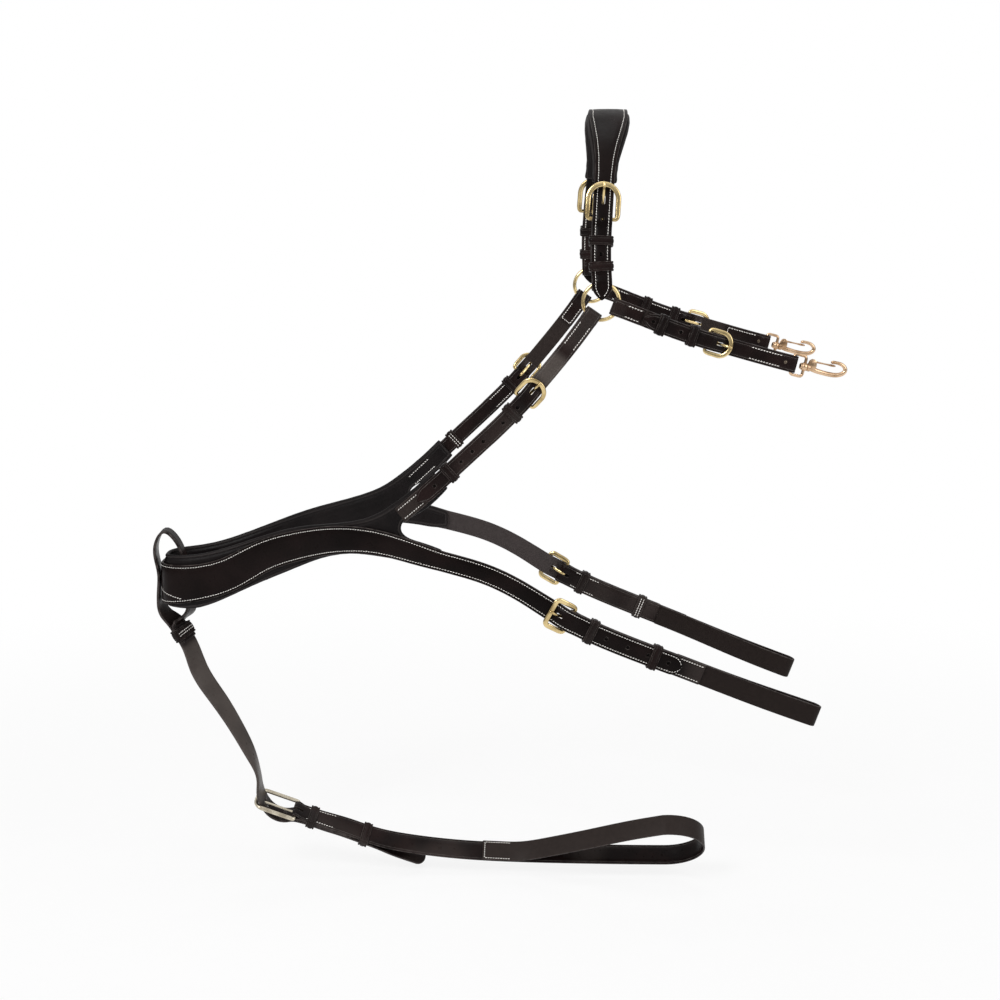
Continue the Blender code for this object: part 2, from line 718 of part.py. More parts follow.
def build_girth():
    """Chest strap, and for each side the girth loop with its buckle, tongue and keepers."""
    girth = girth_fastening()
    add("chest_strap", chest_strap(girth), BROWN)
    run = loop_run(girth, CHEST_LINE.where(GIRTH_LOOP_END), 14.0,
                   CHEST_LINE.where(GIRTH_LOOP_BACK), 60)
    loop = strap(CHEST_LINE, run, GIRTH_WIDTH, GIRTH_LOOP_THICK)
    add_pair("girth_loop", punched(loop, [girth.chape_slot()]), BROWN)
    add_fittings("girth", girth, (-GIRTH_KEEPER, -GIRTH_RUNNER), GIRTH_WIDTH)


def add_fittings(stem, fastening, keepers, width, pair=True):
    """Buckle frame, tongue, fixed keeper and sliding keeper of one fastening."""
    put = add_pair if pair else add
    put(stem + "_buckle", fastening.frame_mesh(), BRASS)
    place, axis = fastening.pivot()
    put(stem + "_tongue", fastening.tongue_mesh(), BRASS, place, axis)
    fixed, sliding = keepers
    if fixed is not None:
        put(stem + "_keeper", fastening.keeper(fixed, width), BROWN)
    spot = fastening.heel + fastening.way * sliding
    heading = fastening.route.frame(spot)[0]
    put(stem + "_runner", fastening.keeper(sliding, width), BROWN, fastening.route.place(spot), heading)


def build_shoulder():
    """The shoulder straps: a billet from the ring, and a chape sewn on the fork of the chest pad."""
    line = SHOULDER_LINE
    level = LEATHER_GAP + CHAPE_THICK + GAP / 2
    hold = Fastening(line, SHOULDER_HEEL, -1, level, SMALL_WIRE, SMALL_ROOM, SMALL_REACH, CHAPE_THICK,
                     STRAP_THICK, SHOULDER_WIDTH, fold=SHOULDER_FOLD, drops=True)
    upper = level + hold.billet_in
    fold = ring_fold(SHOULDER_WIDTH, STRAP_THICK, upper, upper - STRAP_THICK - GAP)
    lower_end = [(SHOULDER_TURNED_BACK, upper - STRAP_THICK - GAP), (40, upper - STRAP_THICK - GAP)]
    billet = hold.billet_run()
    run = lower_end + fold + eased([fold[-1], billet[0]])[1:] + billet[1:]
    run += eased([billet[-1], (SHOULDER_TIP, billet[-1][1])])[1:]
    mesh = strap(line, with_tip_stations(run), SHOULDER_WIDTH, STRAP_THICK, (False, True))
    spots = [(s, level + (hold.rest if s < 181 else hold.low)) for s in SHOULDER_HOLES]
    add_pair("shoulder_strap", punched(mesh, holes(line, spots) + [hold.tongue_hole()]), BROWN)
    chape = hold.chape_wrap()
    run = chape + eased([chape[-1], (SHOULDER_CHAPE_END, chape[-1][1])])[1:]
    mesh = strap(line, run, SHOULDER_WIDTH, CHAPE_THICK)
    add_pair("shoulder_chape", punched(mesh, [hold.chape_slot()]), BROWN)
    add_fittings("shoulder", hold, (-SHOULDER_KEEPER, -SHOULDER_RUNNER), SHOULDER_WIDTH)


def build_rings():
    """The brass rings."""
    out = CHEST.direction(RING_SPOT[0])
    centre = RING_PLACE + RING_LEVEL * out
    along = np.cross(out, (0, 0, 1))
    turn = [2 * math.pi * i / 22 for i in range(22)]
    places = [centre + RING_RADIUS * (math.cos(a) * along + math.sin(a) * np.array((0, 0, 1)))
              for a in turn]
    add_pair("ring", tube(places, RING_WIRE, closed=True), BRASS, centre, out)


def build_wither():
    """Wither strap and its pad, and for each side the chape between buckle and ring."""
    line = WITHER_LINE
    hold = Fastening(line, WITHER_HEEL, 1, 1.5, WITHER_WIRE, WITHER_ROOM, WITHER_REACH, CHAPE_THICK,
                     WITHER_THICK, WITHER_WIDTH, fold=WITHER_FOLD)
    over_ring = RING_LEVEL + RING_WIRE + RING_PLAY + CHAPE_THICK + GAP + WITHER_THICK / 2
    level = hold.level + hold.billet_in
    billet = hold.billet_run()
    resting = billet[-1][1]
    near = with_tip_stations(billet + eased([billet[-1], (31, resting), (21, over_ring),
                                             (2, over_ring)])[1:])[::-1]
    top = [(s, level) for s in np.linspace(near[-1][0] + 11, WITHER_MIDDLE - 6, 9)]
    half = near + top
    run = half + [(line.length - s, n) for s, n in reversed(half)]

    def width(table):
        return lambda s: float(np.interp(abs(s - WITHER_MIDDLE), *zip(*table)))

    mesh = strap(line, run, width(WITHER_WIDTHS), WITHER_THICK, (True, True))
    punches = holes(line, [(s, n) for s, n in zip(WITHER_HOLES, (hold.level + hold.top, resting))])
    add("wither_strap", both_sides(mesh, punches + [hold.tongue_hole()]), BROWN)
    under = level - WITHER_THICK / 2 - GAP - WITHER_PAD_THICK / 2
    places = list(np.linspace(WITHER_PAD_REACH, WITHER_MIDDLE - 6, 12))
    run = [(s, under) for s in places + [line.length - s for s in reversed(places)]]
    add("wither_pad", strap(line, run, width(WITHER_PAD_WIDTHS), WITHER_PAD_THICK), LINING)
    fold = ring_fold(WITHER_WIDTH, CHAPE_THICK, hold.level + hold.ply, hold.level - hold.ply)
    wrap = hold.chape_wrap()
    run = wrap + eased([wrap[-1], fold[0]])[1:] + fold[1:] + [(WITHER_TURNED_BACK, hold.level + hold.ply)]
    mesh = strap(line, run, WITHER_WIDTH, CHAPE_THICK)
    add_pair("wither_chape", punched(mesh, [hold.chape_slot()]), BROWN)
    add_fittings("wither", hold, (-WITHER_KEEPER, -WITHER_RUNNER), WITHER_WIDTH)


def build_saddle():
    """Saddle straps: a chape on the ring, and a billet that carries the snap hook."""
    line = SADDLE_LINE
    hold = Fastening(line, SADDLE_HEEL, 1, RING_LEVEL, SMALL_WIRE, SMALL_ROOM, SMALL_REACH, CHAPE_THICK,
                     STRAP_THICK, SADDLE_WIDTH, fold=SADDLE_FOLD)
    fold = ring_fold(SADDLE_WIDTH, CHAPE_THICK, hold.level + hold.ply, hold.level - hold.ply)
    wrap = hold.chape_wrap()
    run = wrap + eased([wrap[-1], (40, wrap[-1][1])])[1:] + fold + [(SADDLE_TURNED_BACK, hold.level + hold.ply)]
    mesh = punched(strap(line, run, SADDLE_WIDTH, CHAPE_THICK), [hold.chape_slot()])
    fixed = hold.keeper(-SADDLE_KEEPER, SADDLE_WIDTH)
    low = hold.stack(-SADDLE_KEEPER)[0]
    stitch = prism(line, hold.heel - SADDLE_KEEPER, low - 0.3, 3.0, 6.0, 1.6)
    add_pair("saddle_chape", combine(combine(mesh, stitch, "UNION"), fixed, "UNION"), BROWN)
    level = hold.level + hold.billet_in
    eye = SNAP_EYE_AT
    eye_level = level - 1.4
    bend = EYE_WIRE + 0.4 + STRAP_THICK / 2
    under = level - STRAP_THICK - GAP
    turn = arc((eye, eye_level), bend, -90, 90)
    run = eased([(165, under), (205, under), (eye, eye_level - bend)])[:-1] + turn
    billet = hold.billet_run()
    run += eased([(eye, eye_level + bend), (205, level), billet[0]])[1:] + billet[1:]
    run += eased([billet[-1], (SADDLE_TIP, billet[-1][1])])[1:]
    mesh = strap(line, with_tip_stations(run), SADDLE_WIDTH, STRAP_THICK, (False, True))
    spots = [(s, hold.level + hold.rest) for s in SADDLE_HOLES]
    add_pair("saddle_billet", punched(mesh, holes(line, spots) + [hold.tongue_hole()]), BROWN)
    add_fittings("saddle", hold, (None, -SADDLE_RUNNER), SADDLE_WIDTH)
    build_snap(line, eye, eye_level)


def build_snap(line, eye, level):
    """Snap hook: an eye in the strap's fold, a swivelling hook and its sprung gate."""
    t, across, out = line.frame(eye)
    centre = line.place(eye, 0, level)

    def spot(s, b, n=0.0):
        return centre + (s - eye) * t + b * across + n * out

    corner, loop = 2.0, []
    for quadrant, (s, b) in enumerate(((1, 1), (0, 1), (0, -1), (1, -1))):
        for i in range(3):
            a = math.radians(90 * quadrant + 45 * i)
            pivot_s = eye + corner if s == 0 else eye + EYE_REACH - corner
            loop.append(spot(pivot_s + corner * math.cos(a),
                             b * (EYE_HALF_WIDTH - corner) + corner * math.sin(a)))
    frame = tube(loop, EYE_WIRE, closed=True)
    boss_from, boss_to, bore, shank = eye + EYE_REACH - 2.6, eye + EYE_REACH + 2.6, 2.4, 2.0

    def turned(stations, sides=10):
        ring = [2 * math.pi * (i + 0.5) / sides for i in range(sides)]
        bm = bmesh.new()
        sweep(bm, [[spot(s, r * math.cos(a), r * math.sin(a)) for a in ring] for s, r in stations])
        return finished(bm)

    frame = combine(frame, turned([(boss_from, 4.4), (boss_to, 4.4)]), "UNION")
    frame = combine(frame, turned([(boss_from - 3, bore), (boss_to + 3, bore)]), "DIFFERENCE")
    add_pair("snap_eye", frame, BRASS, spot(eye, 0), across)
    head = boss_from - GAP
    neck = boss_to + GAP
    path = [(head - 2.2, 0, 3.4), (head, 0, 3.4), (head, 0, shank), (neck, 0, shank),
            (neck, 0, 3.6), (neck + 4, 0, 3.6), (neck + 8, -0.6, 2.6), (neck + 16, -1.0, 2.5),
            (neck + 26, -1.0, 2.5), (neck + 33, -0.2, 2.4), (neck + 38.5, 2.6, 2.3),
            (neck + 40.5, 6.6, 2.2), (neck + 38, 10.4, 2.0), (neck + 33, 12.0, 1.9),
            (neck + 28, 12.0, 1.8), (neck + 24, 11.4, 1.6)]
    step = np.gradient(np.array([p[:2] for p in path]), axis=0)
    step[:7] = (1, 0)
    step /= np.linalg.norm(step, axis=1)[:, None]
    ring = [2 * math.pi * (i + 0.5) / 8 for i in range(8)]
    bm = bmesh.new()
    sweep(bm, [[spot(s - step[i, 1] * r * math.cos(a), b + step[i, 0] * r * math.cos(a),
                     r * math.sin(a)) for a in ring] for i, (s, b, r) in enumerate(path)])
    hook = finished(bm)
    cheek_from, cheek_to, cheek_top, gate_b = neck + 0.5, neck + 8.5, 9.6, 7.6

    def block(s0, s1, b0, b1, n):
        bm = bmesh.new()
        sweep(bm, [[spot(s, b0, -n), spot(s, b1, -n), spot(s, b1, n), spot(s, b0, n)]
                   for s in (s0, s1)])
        return finished(bm)

    hook = combine(hook, block(cheek_from, cheek_to, -1.5, cheek_top, 3.0), "UNION")
    hook = combine(hook, block(cheek_from + 2.0, cheek_to + 1, 4.6, cheek_top + 1, 1.4), "DIFFERENCE")
    add_pair("snap_hook", hook, BRASS, spot(neck, 0), t)
    hinge = cheek_from + 3.8
    gate = [(hinge - 1.4, gate_b), (hinge + 1.4, gate_b), (neck + 28, gate_b + 0.7)]
    bm = bmesh.new()
    wide = 1.05
    sweep(bm, [[spot(s, b - 1.0, -wide), spot(s, b + 1.0, -wide), spot(s, b + 1.0, wide),
                spot(s, b - 1.0, wide)] for s, b in gate])
    add_pair("snap_gate", finished(bm), BRASS, spot(hinge, gate_b), out)


# The martingale's lower part, from before its buckle to the girth loop: x, z, roll in degrees
LOWER_ROUTE = [(42, -238, 20), (89, -255, 22), (137, -272, 25), (165, -282, 29), (193, -291, 34),
               (223, -302, 38), (263, -311, 42), (345, -320, 45), (390, -322, 47), (470, -324, 47),
               (554, -325, 47), (640, -325, 47)]
KEEPER_SPOT = (9.0, 0.0, -60.0)      # where the martingale's loop is gathered under the chest pad
KEEPER_HEADING = (0.5, 0.0, -0.866)
KEEPER_TWIST = 40.0
# The strap round the chest pad, up its inner side and down its front, and then down to the buckle:
# places of its middle, and its twist about the upright
ROUND_PAD = [((18.5, -1, -36), 20), ((19, 0, -18), 6), ((18, 0, 5), 0), ((13, 0, 30), 0),
             ((4, 0, 49), 0), ((-7, 0, 57), 0), ((-16, 0, 46), 0), ((-17.5, 0, 28), 0),
             ((-14.2, 0, 10), 0), ((-14.4, 0, -8), 2), ((-14.4, 0, -24), 6), ((-8.5, 0, -38.5), 24)]
DOWN_STRAP = [((27.5, 0, -104), 44), ((48, 0, -138), 42), ((68, -1, -171), 30), ((86, -3, -207), 13),
              ((93.5, -5, -232), 2)]


def twisted(degrees):
    """A strap's width direction, turned about the upright from straight across the horse."""
    a = math.radians(degrees)
    return np.array([math.sin(a), math.cos(a), 0.0])


def lower_line():
    places = [(x, 0, z) for x, z, roll in LOWER_ROUTE]
    widths = [(0, math.cos(math.radians(roll)), math.sin(math.radians(roll)))
              for x, z, roll in LOWER_ROUTE]
    return Route.by_width(places, widths)


def martingale_fastening(line):
    heel = float(line.along[np.argmin(np.abs(line.places[:, 0] - 136.0))])
    return Fastening(line, heel, -1, 0.0, MARTINGALE_WIRE, MARTINGALE_ROOM, MARTINGALE_REACH,
                     CHAPE_THICK, MARTINGALE_THICK, MARTINGALE_WIDTH, arched=False,
                     fold=MARTINGALE_FOLD)


def upper_line(hold):
    """The martingale's upper strap: round the chest pad, down to the buckle and under the chape.

    It also gives the distance at which its two legs are gathered by a keeper.
    """
    heading = np.array(KEEPER_HEADING)
    across = twisted(KEEPER_TWIST)
    across = across - across.dot(heading) * heading
    across /= np.linalg.norm(across)
    gather = np.array(KEEPER_SPOT)
    behind = gather - (MARTINGALE_THICK + GAP) * np.cross(across, heading)
    rear = [behind + 11 * heading, behind + 5 * heading, behind - 3 * heading, behind - 10 * heading]
    front = [gather + along * heading for along in (-11, -4, 4, 12)]
    places = rear + [place for place, twist in ROUND_PAD] + front
    places += [place for place, twist in DOWN_STRAP]
    widths = [across] * len(rear) + [twisted(twist) for place, twist in ROUND_PAD]
    widths += [across] * len(front) + [twisted(twist) for place, twist in DOWN_STRAP]
    bend = [(47.5, -12), (42.5, -3.2), (37.5, 3), (31.5, 8.5), (24, 12.3), (16, 13.2), (8, 11),
            (1, hold.top + 0.4), (-6, hold.rest + 0.9), (-13, hold.rest + 0.1), (-36, hold.rest),
            (-54, hold.rest), (-72, hold.rest), (-90, hold.rest), (-100, hold.rest + 1.2),
            (-114, hold.rest + 6), (-132, hold.rest + 13), (-156, hold.rest + 23)]
    for s, n in hold.to_route(bend):
        places.append(hold.route.place(s, 0, n))
        widths.append(-hold.route.frame(s)[1])
    line = Route.by_width(places, widths)
    return line, line.along[(len(rear) + len(ROUND_PAD) + 1) * STEPS + STEPS // 2]


def build_martingale():
    """Martingale: the strap from the chest pad with its gathering band, and the girth loop strap."""
    lower = lower_line()
    hold = martingale_fastening(lower)
    hold.bar = 0.0
    upper, gathered = upper_line(hold)
    run = [(upper.length * i / MARTINGALE_STATIONS, 0.0) for i in range(MARTINGALE_STATIONS + 1)]
    mesh = strap(upper, with_tip_stations(run), MARTINGALE_WIDTH, MARTINGALE_THICK, (False, True))
    seat = hold.wire + GAP + TONGUE_THICK / 2
    tongue = arc((0, 0), hold.root, 200, 90, 5) + [(0.3 * hold.reach, hold.root), (hold.reach, seat),
                                                   (hold.reach + hold.wire + 0.6, seat)]
    marked = [MARTINGALE_TONGUE_HOLE, MARTINGALE_BEND_HOLE]
    marked += [(-d, hold.rest) for d in MARTINGALE_REST_HOLES]
    spots = [float(upper.along[np.argmin(np.linalg.norm(upper.places - place, axis=1))])
             for place in (lower.place(*flat(station)) for station in hold.to_route(marked))]
    punches = [prism(upper, spots[0], 0, 7.0, TONGUE_WIDTH / 2 + 0.9, 12)]
    punches += holes(upper, [(s, 0) for s in spots[1:]])
    add("martingale_strap", punched(mesh, punches), BROWN)
    add("martingale_buckle", hold.frame_mesh(), BRASS)
    place, axis = hold.pivot()
    add("martingale_tongue", hold.tongue_mesh(tongue), BRASS, place, axis)
    end = lower.along[np.argmin(np.abs(lower.places[:, 0] - 602.0))]
    back = lower.along[np.argmin(np.abs(lower.places[:, 0] - 349.0))]
    wrap = hold.chape_wrap()
    level, inner = hold.level - hold.ply, hold.level - hold.ply - CHAPE_THICK - GAP
    radius = 42.0
    out = eased([wrap[-1], (end - radius - 8, level)])[1:]
    turn = arc((end - radius, level - radius), radius, 90, -100, 13)
    tear = Spline([turn[-1], (end - 80, level - 70), (end - 130, level - 43), (end - 178, level - 17),
                   (back + 40, inner - 0.6), (back + 18, inner), (back, inner)], 5).points
    run = wrap + out + turn + [tuple(p) for p in tear[1:]]
    mesh = punched(strap(lower, run, MARTINGALE_WIDTH, CHAPE_THICK), [hold.chape_slot()])
    fixed = hold.keeper(-MARTINGALE_KEEPER, MARTINGALE_WIDTH)
    low = hold.stack(-MARTINGALE_KEEPER)[0]
    stitch = prism(lower, hold.heel + MARTINGALE_KEEPER, low - 0.3, 3.0, 7.0, 1.6)
    mesh = combine(combine(mesh, stitch, "UNION"), fixed, "UNION")
    add("martingale_girth_loop", mesh, BROWN)
    spot = hold.heel + MARTINGALE_RUNNER
    keeper = hold.keeper(-MARTINGALE_RUNNER, MARTINGALE_WIDTH)
    add("martingale_runner", keeper, BROWN, lower.place(spot), lower.frame(spot)[0])
    stack = MARTINGALE_THICK / 2
    gather = band(upper, gathered, -stack - MARTINGALE_THICK - GAP, stack, MARTINGALE_WIDTH, 14.0)
    add("martingale_keeper", gather, BROWN)


def flat(pair):
    """Route arguments s, b, n from a station."""
    return pair[0], 0.0, pair[1]


add("chest_lining", chest_lining(), LINING)
build_girth()
build_shoulder()
build_rings()
build_wither()
build_saddle()
build_martingale()
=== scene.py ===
"""The looks of a hunting breastplate: its leather, stitching, padding and brass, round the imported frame.

The horse faces -X, its near (left) side is at -Y, and +Z is up. Sizes are in millimetres, and each
mesh is made in metres. The near side is made, and the off side is its mirror image.

The chest pad and its straps lie round the horse as on a flat pattern: u is the distance round the
body from the middle of the chest, z is the height, and n is the distance out from the horse. Along a
strap, s is the distance from its route's start, b is across it and n is out from it.
"""

import json
import logging
import math
from dataclasses import dataclass, field
from enum import Enum
from typing import Callable, Iterable, Sequence

import bmesh
import bpy
import numpy as np
from bmesh.types import BMEdge, BMesh, BMFace, BMVert
from bpy.types import Material, Mesh, Node, NodeSocket, Object, World
from mathutils import Matrix, Vector
from mathutils.bvhtree import BVHTree

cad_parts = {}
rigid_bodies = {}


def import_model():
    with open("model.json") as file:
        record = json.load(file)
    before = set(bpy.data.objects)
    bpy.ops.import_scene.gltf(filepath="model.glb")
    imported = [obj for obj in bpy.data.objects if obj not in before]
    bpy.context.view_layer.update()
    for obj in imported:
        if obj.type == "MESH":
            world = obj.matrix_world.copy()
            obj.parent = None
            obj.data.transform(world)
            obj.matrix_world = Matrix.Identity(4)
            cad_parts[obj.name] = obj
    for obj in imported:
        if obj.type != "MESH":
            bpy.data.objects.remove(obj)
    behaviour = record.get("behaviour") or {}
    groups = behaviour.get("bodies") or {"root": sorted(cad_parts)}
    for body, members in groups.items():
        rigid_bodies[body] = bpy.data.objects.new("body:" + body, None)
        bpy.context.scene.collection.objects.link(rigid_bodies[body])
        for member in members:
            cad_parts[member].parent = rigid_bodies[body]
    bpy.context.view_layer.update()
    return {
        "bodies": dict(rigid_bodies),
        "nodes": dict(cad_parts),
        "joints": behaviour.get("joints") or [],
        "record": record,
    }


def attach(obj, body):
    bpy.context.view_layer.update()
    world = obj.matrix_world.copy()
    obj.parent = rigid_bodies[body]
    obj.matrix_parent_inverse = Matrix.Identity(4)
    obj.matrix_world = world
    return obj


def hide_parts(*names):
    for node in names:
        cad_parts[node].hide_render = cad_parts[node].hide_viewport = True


LOG = logging.getLogger("breastplate")

Pair = tuple[float, float]
Table = Sequence[Pair]
Colour = tuple[float, float, float, float]
Input = NodeSocket | float | tuple      # what a node's input is given: a link, a number or a colour

MM = 0.001
GAP = 0.3           # air between pieces that touch
LEATHER_GAP = 0.4   # air between the chest pad and the strap sewn on it
STEPS = 24          # places worked out between two chosen points of a curve
PITCH = 3.0         # length of one stitch and its gap

# What each point of the leather is marked with, for its finish: its distance from the cut edge in
# millimetres; its face, from 1 on the grain side to -1 on the flesh side, and above 1 where a painted
# sheen lies on the grain; and 1 where a painted highlight line lies on a pressed line or a hole's wall
MARKS = ("edge", "face", "highlight_mark")

# The line round the horse that the chest pad's outer face follows, seen from above: x, distance out
PLAN = [(-8, 0), (-8, 6), (-4, 18), (10, 28), (36, 33), (72, 36), (108, 42), (142, 54), (176, 72),
        (210, 91), (246, 106), (286, 116), (346, 120), (446, 121), (546, 118), (716, 110), (800, 105)]

# Routes of the straps' middle lines on the flat pattern: u, z
CHEST_ROUTE = [(0, 0), (51, 3), (96, 15), (131, 34), (178, 51), (245, 64), (276, 64), (305, 59),
               (345, 48), (399, 32), (437, 13), (475, -11), (538, -42), (608, -70), (695, -105),
               (770, -133)]
RING_SPOT = (518, 323)
SHOULDER_ROUTE = [RING_SPOT, (500, 297), (482, 273), (456, 241), (431, 212), (399, 180), (366, 149),
                  (336, 121), (305, 94)]
SADDLE_ROUTE = [RING_SPOT, (560, 307), (605, 290), (655, 275), (705, 261), (745, 251), (800, 239)]

# The near half of the wither strap's arch, from the ring to the top: x, y, z
WITHER_ARCH = [(475, -120.6, 340), (474, -119, 362), (474.5, -112, 392), (477, -100, 430), (480, -82, 466),
               (483, -59, 493), (485, -34, 510), (486, 0, 518)]

# A stitched line on each side of the chest strap's middle: u, z
SCALLOP = [(1.5, -3.5), (8, -5), (18, -8.5), (30, -12), (42, -14.6)]

# Outline of the chest lining on the flat pattern, near half, from its top round to its bottom
LINING_TOP = [(0, 34), (30, 35), (63, 38), (97, 47), (132, 59), (178, 72), (245, 84), (277, 94),
              (298, 107), (316, 121), (341, 145)]
LINING_FORK = [(358, 126), (335, 103), (317, 92), (308, 85), (307, 77), (313, 71), (328, 66),
               (352, 58)]
LINING_BOTTOM = [(352, 39), (338, 38.5), (316, 42), (282, 46), (244, 46), (193, 32), (162, 18),
                 (131, 4), (96, -13), (62, -26), (30, -28), (0, -28)]

# Leather: widths and thicknesses
SHOULDER_WIDTH, SADDLE_WIDTH, WITHER_WIDTH = 18.0, 18.0, 21.0
GIRTH_WIDTH, MARTINGALE_WIDTH = 23.0, 24.0
STRAP_THICK, CHEST_THICK, WITHER_THICK, MARTINGALE_THICK = 2.8, 3.0, 3.0, 3.0
CHAPE_THICK, GIRTH_LOOP_THICK = 2.0, 2.4
CHEST_WIDTHS = [(0, 45.5), (20, 45.5), (62, 41), (131, 36), (245, 30), (320, 25), (350, 22), (440, 22),
                (475, GIRTH_WIDTH)]
WITHER_WIDTHS = [(0, 41), (35, 41), (54, 36), (78, 28), (98, 23), (117, WITHER_WIDTH)]
WITHER_PAD_WIDTHS = [(0, 49), (35, 49), (54, 46), (78, 38), (98, 31), (127, 27)]
WITHER_PAD_REACH = 127.0

# Keepers, the leather bands that hold the strap ends down, and how far behind the buckle's heel bar the
# sliding one and the fixed one are
KEEPER_LENGTH, KEEPER_THICK, KEEPER_PLAY = 10.0, 1.8, 0.5
GATHER_KEEPER_LENGTH = 14.0
GIRTH_KEEPERS, SHOULDER_KEEPERS, WITHER_KEEPERS = (100.0, 26.0), (110.0, 18.0), (50.0, 24.0)
SADDLE_KEEPERS, MARTINGALE_KEEPERS = (51.0, 16.5), (84.0, 20.0)

# Brass rings and buckles: wire radius, room for the strap, distance between the bars
RING_RADIUS, RING_WIRE, RING_LEVEL, RING_PLAY = 19.0, 2.0, 1.5, 0.6
SMALL_BUCKLE = (1.75, 20.0, 24.0)
WITHER_BUCKLE = (2.0, 26.0, 35.0)
GIRTH_BUCKLE = (2.0, 25.0, 22.0)
MARTINGALE_BUCKLE = (2.1, 26.0, 47.0)
TONGUE_WIDTH, TONGUE_THICK = 3.0, 2.0
HOLE_RADIUS = 1.7

# Lengths of the plies that are turned back behind the buckles
GIRTH_FOLD, SHOULDER_FOLD, WITHER_FOLD, SADDLE_FOLD, MARTINGALE_FOLD = 156, 50, 39, 68, 70

# Where things lie on the flat pattern: u
GIRTH_HEEL, GIRTH_TIP, GIRTH_LOOP_END, GIRTH_LOOP_BACK = 487, 607, 758, 600
GIRTH_HOLES = (526, 549, 571, 593)

# Where things lie along their own strap: distance from its start
SHOULDER_HEEL, SHOULDER_TIP, SHOULDER_CHAPE_END, SHOULDER_TURNED_BACK = 131.0, 288, 313, 52
SHOULDER_HOLES = (141, 163, 192, 208, 224, 262)
WITHER_HEEL, WITHER_HOLES, WITHER_TURNED_BACK = 86.0, (84.0, 48.0), 45.5
SADDLE_HEEL, SADDLE_TIP, SADDLE_HOLES, SADDLE_TURNED_BACK = 119.0, 47, (89.0, 58.0), 46
SADDLE_BILLET_BACK, RIVET_AT, SNAP_EYE_AT = 165.0, 205.0, 213.0
EYE_WIRE, EYE_HALF_WIDTH, EYE_REACH = 1.6, 11.0, 13.0

# Where things lie on the martingale's lower route: x; and the radius of its open loop
MARTINGALE_HEEL, MARTINGALE_LOOP_END, MARTINGALE_LOOP_BACK = 136.0, 602.0, 349.0
MARTINGALE_LOOP_RADIUS = 42.0

# The martingale's lower part, from before its buckle to the girth loop: x, z, roll in degrees
LOWER_ROUTE = [(42, -238, 20), (89, -255, 22), (137, -272, 25), (165, -282, 29), (193, -291, 34),
               (223, -302, 38), (263, -311, 42), (345, -320, 45), (390, -322, 47), (470, -324, 47),
               (554, -325, 47), (640, -325, 47)]
KEEPER_SPOT = (9.0, 0.0, -60.0)      # where the martingale's loop is gathered under the chest pad
KEEPER_HEADING = (0.5, 0.0, -0.866)
KEEPER_TWIST = 40.0
# The strap round the chest pad, up its inner side and down its front, and then down to the buckle:
# places of its middle, and its twist about the upright
ROUND_PAD = [((18.5, -1, -36), 20), ((19, 0, -18), 6), ((18, 0, 5), 0), ((13, 0, 30), 0),
             ((4, 0, 49), 0), ((-7, 0, 57), 0), ((-16, 0, 46), 0), ((-17.5, 0, 28), 0),
             ((-14.2, 0, 10), 0), ((-14.4, 0, -8), 2), ((-14.4, 0, -24), 6), ((-8.5, 0, -38.5), 24)]
DOWN_STRAP = [((27.5, 0, -104), 44), ((48, 0, -138), 42), ((68, -1, -171), 30), ((86, -3, -207), 13),
              ((93.5, -5, -232), 2)]


class Tip(Enum):
    """How a strap's end is cut."""

    SQUARE = 0.0
    POINTED = 15.0
    ROUNDED = 11.0

    def share(self, distance: float) -> float:
        """The share of its width that the strap has at a distance from its end.

        Args:
            distance: how far from the end.

        Returns:
            The share, up to 1.
        """
        if self is Tip.SQUARE or distance >= self.value:
            return 1.0
        left = 1 - max(distance, 0) / self.value
        return 1 - 0.93 * left ** 2.2 if self is Tip.POINTED else 0.1 + 0.9 * math.sqrt(1 - left ** 2)


class Face(Enum):
    """A face of a strap."""

    GRAIN = 1
    FLESH = -1


class Hide(Enum):
    """How the leather of a strap lies on its run."""

    GRAIN_OUT = 1       # its grain on the left of the way that it runs
    GRAIN_IN = -1       # its grain on the right
    LINED = 0           # grain on both faces, with its grooves on the left


class Spline:
    """A smooth curve through chosen points, measured by its own length."""

    def __init__(self, points: Sequence, steps: int = STEPS) -> None:
        """Works the curve out.

        Args:
            points: the places that it passes through.
            steps: places worked out between two of them.
        """
        points = np.asarray(points, float)
        span = np.linalg.norm(np.diff(points, axis=0), axis=1)
        count = len(points)
        system, known = np.eye(count), np.zeros_like(points)
        for i in range(1, count - 1):
            system[i, i - 1:i + 2] = span[i - 1], 2 * (span[i - 1] + span[i]), span[i]
            rise = (points[i + 1] - points[i]) / span[i] - (points[i] - points[i - 1]) / span[i - 1]
            known[i] = 6 * rise
        bend = np.linalg.solve(system, known)
        runs = [points[:1]]
        for i in range(count - 1):
            t = np.linspace(0, 1, steps + 1)[1:, None]
            a, b, h = 1 - t, t, span[i]
            curve = a * points[i] + b * points[i + 1]
            runs.append(curve + h * h / 6 * ((a ** 3 - a) * bend[i] + (b ** 3 - b) * bend[i + 1]))
        self.points = np.vstack(runs)
        self.along = lengths(self.points)


def lengths(points: np.ndarray) -> np.ndarray:
    """The distance along a line of points at each of them, from 0."""
    return np.r_[0, np.cumsum(np.linalg.norm(np.diff(points, axis=0), axis=1))]


def unit(vectors: np.ndarray) -> np.ndarray:
    """A direction, or a row of them, with a length of 1."""
    return vectors / np.linalg.norm(vectors, axis=-1, keepdims=True)


def squared(vectors: np.ndarray, heading: np.ndarray) -> np.ndarray:
    """Directions turned square to their headings, with a length of 1."""
    return unit(vectors - np.sum(vectors * heading, axis=-1, keepdims=True) * heading)


def lookup(table: Table, at: float) -> float:
    """A value read from a table of pairs, straight between them."""
    return float(np.interp(at, *zip(*table)))


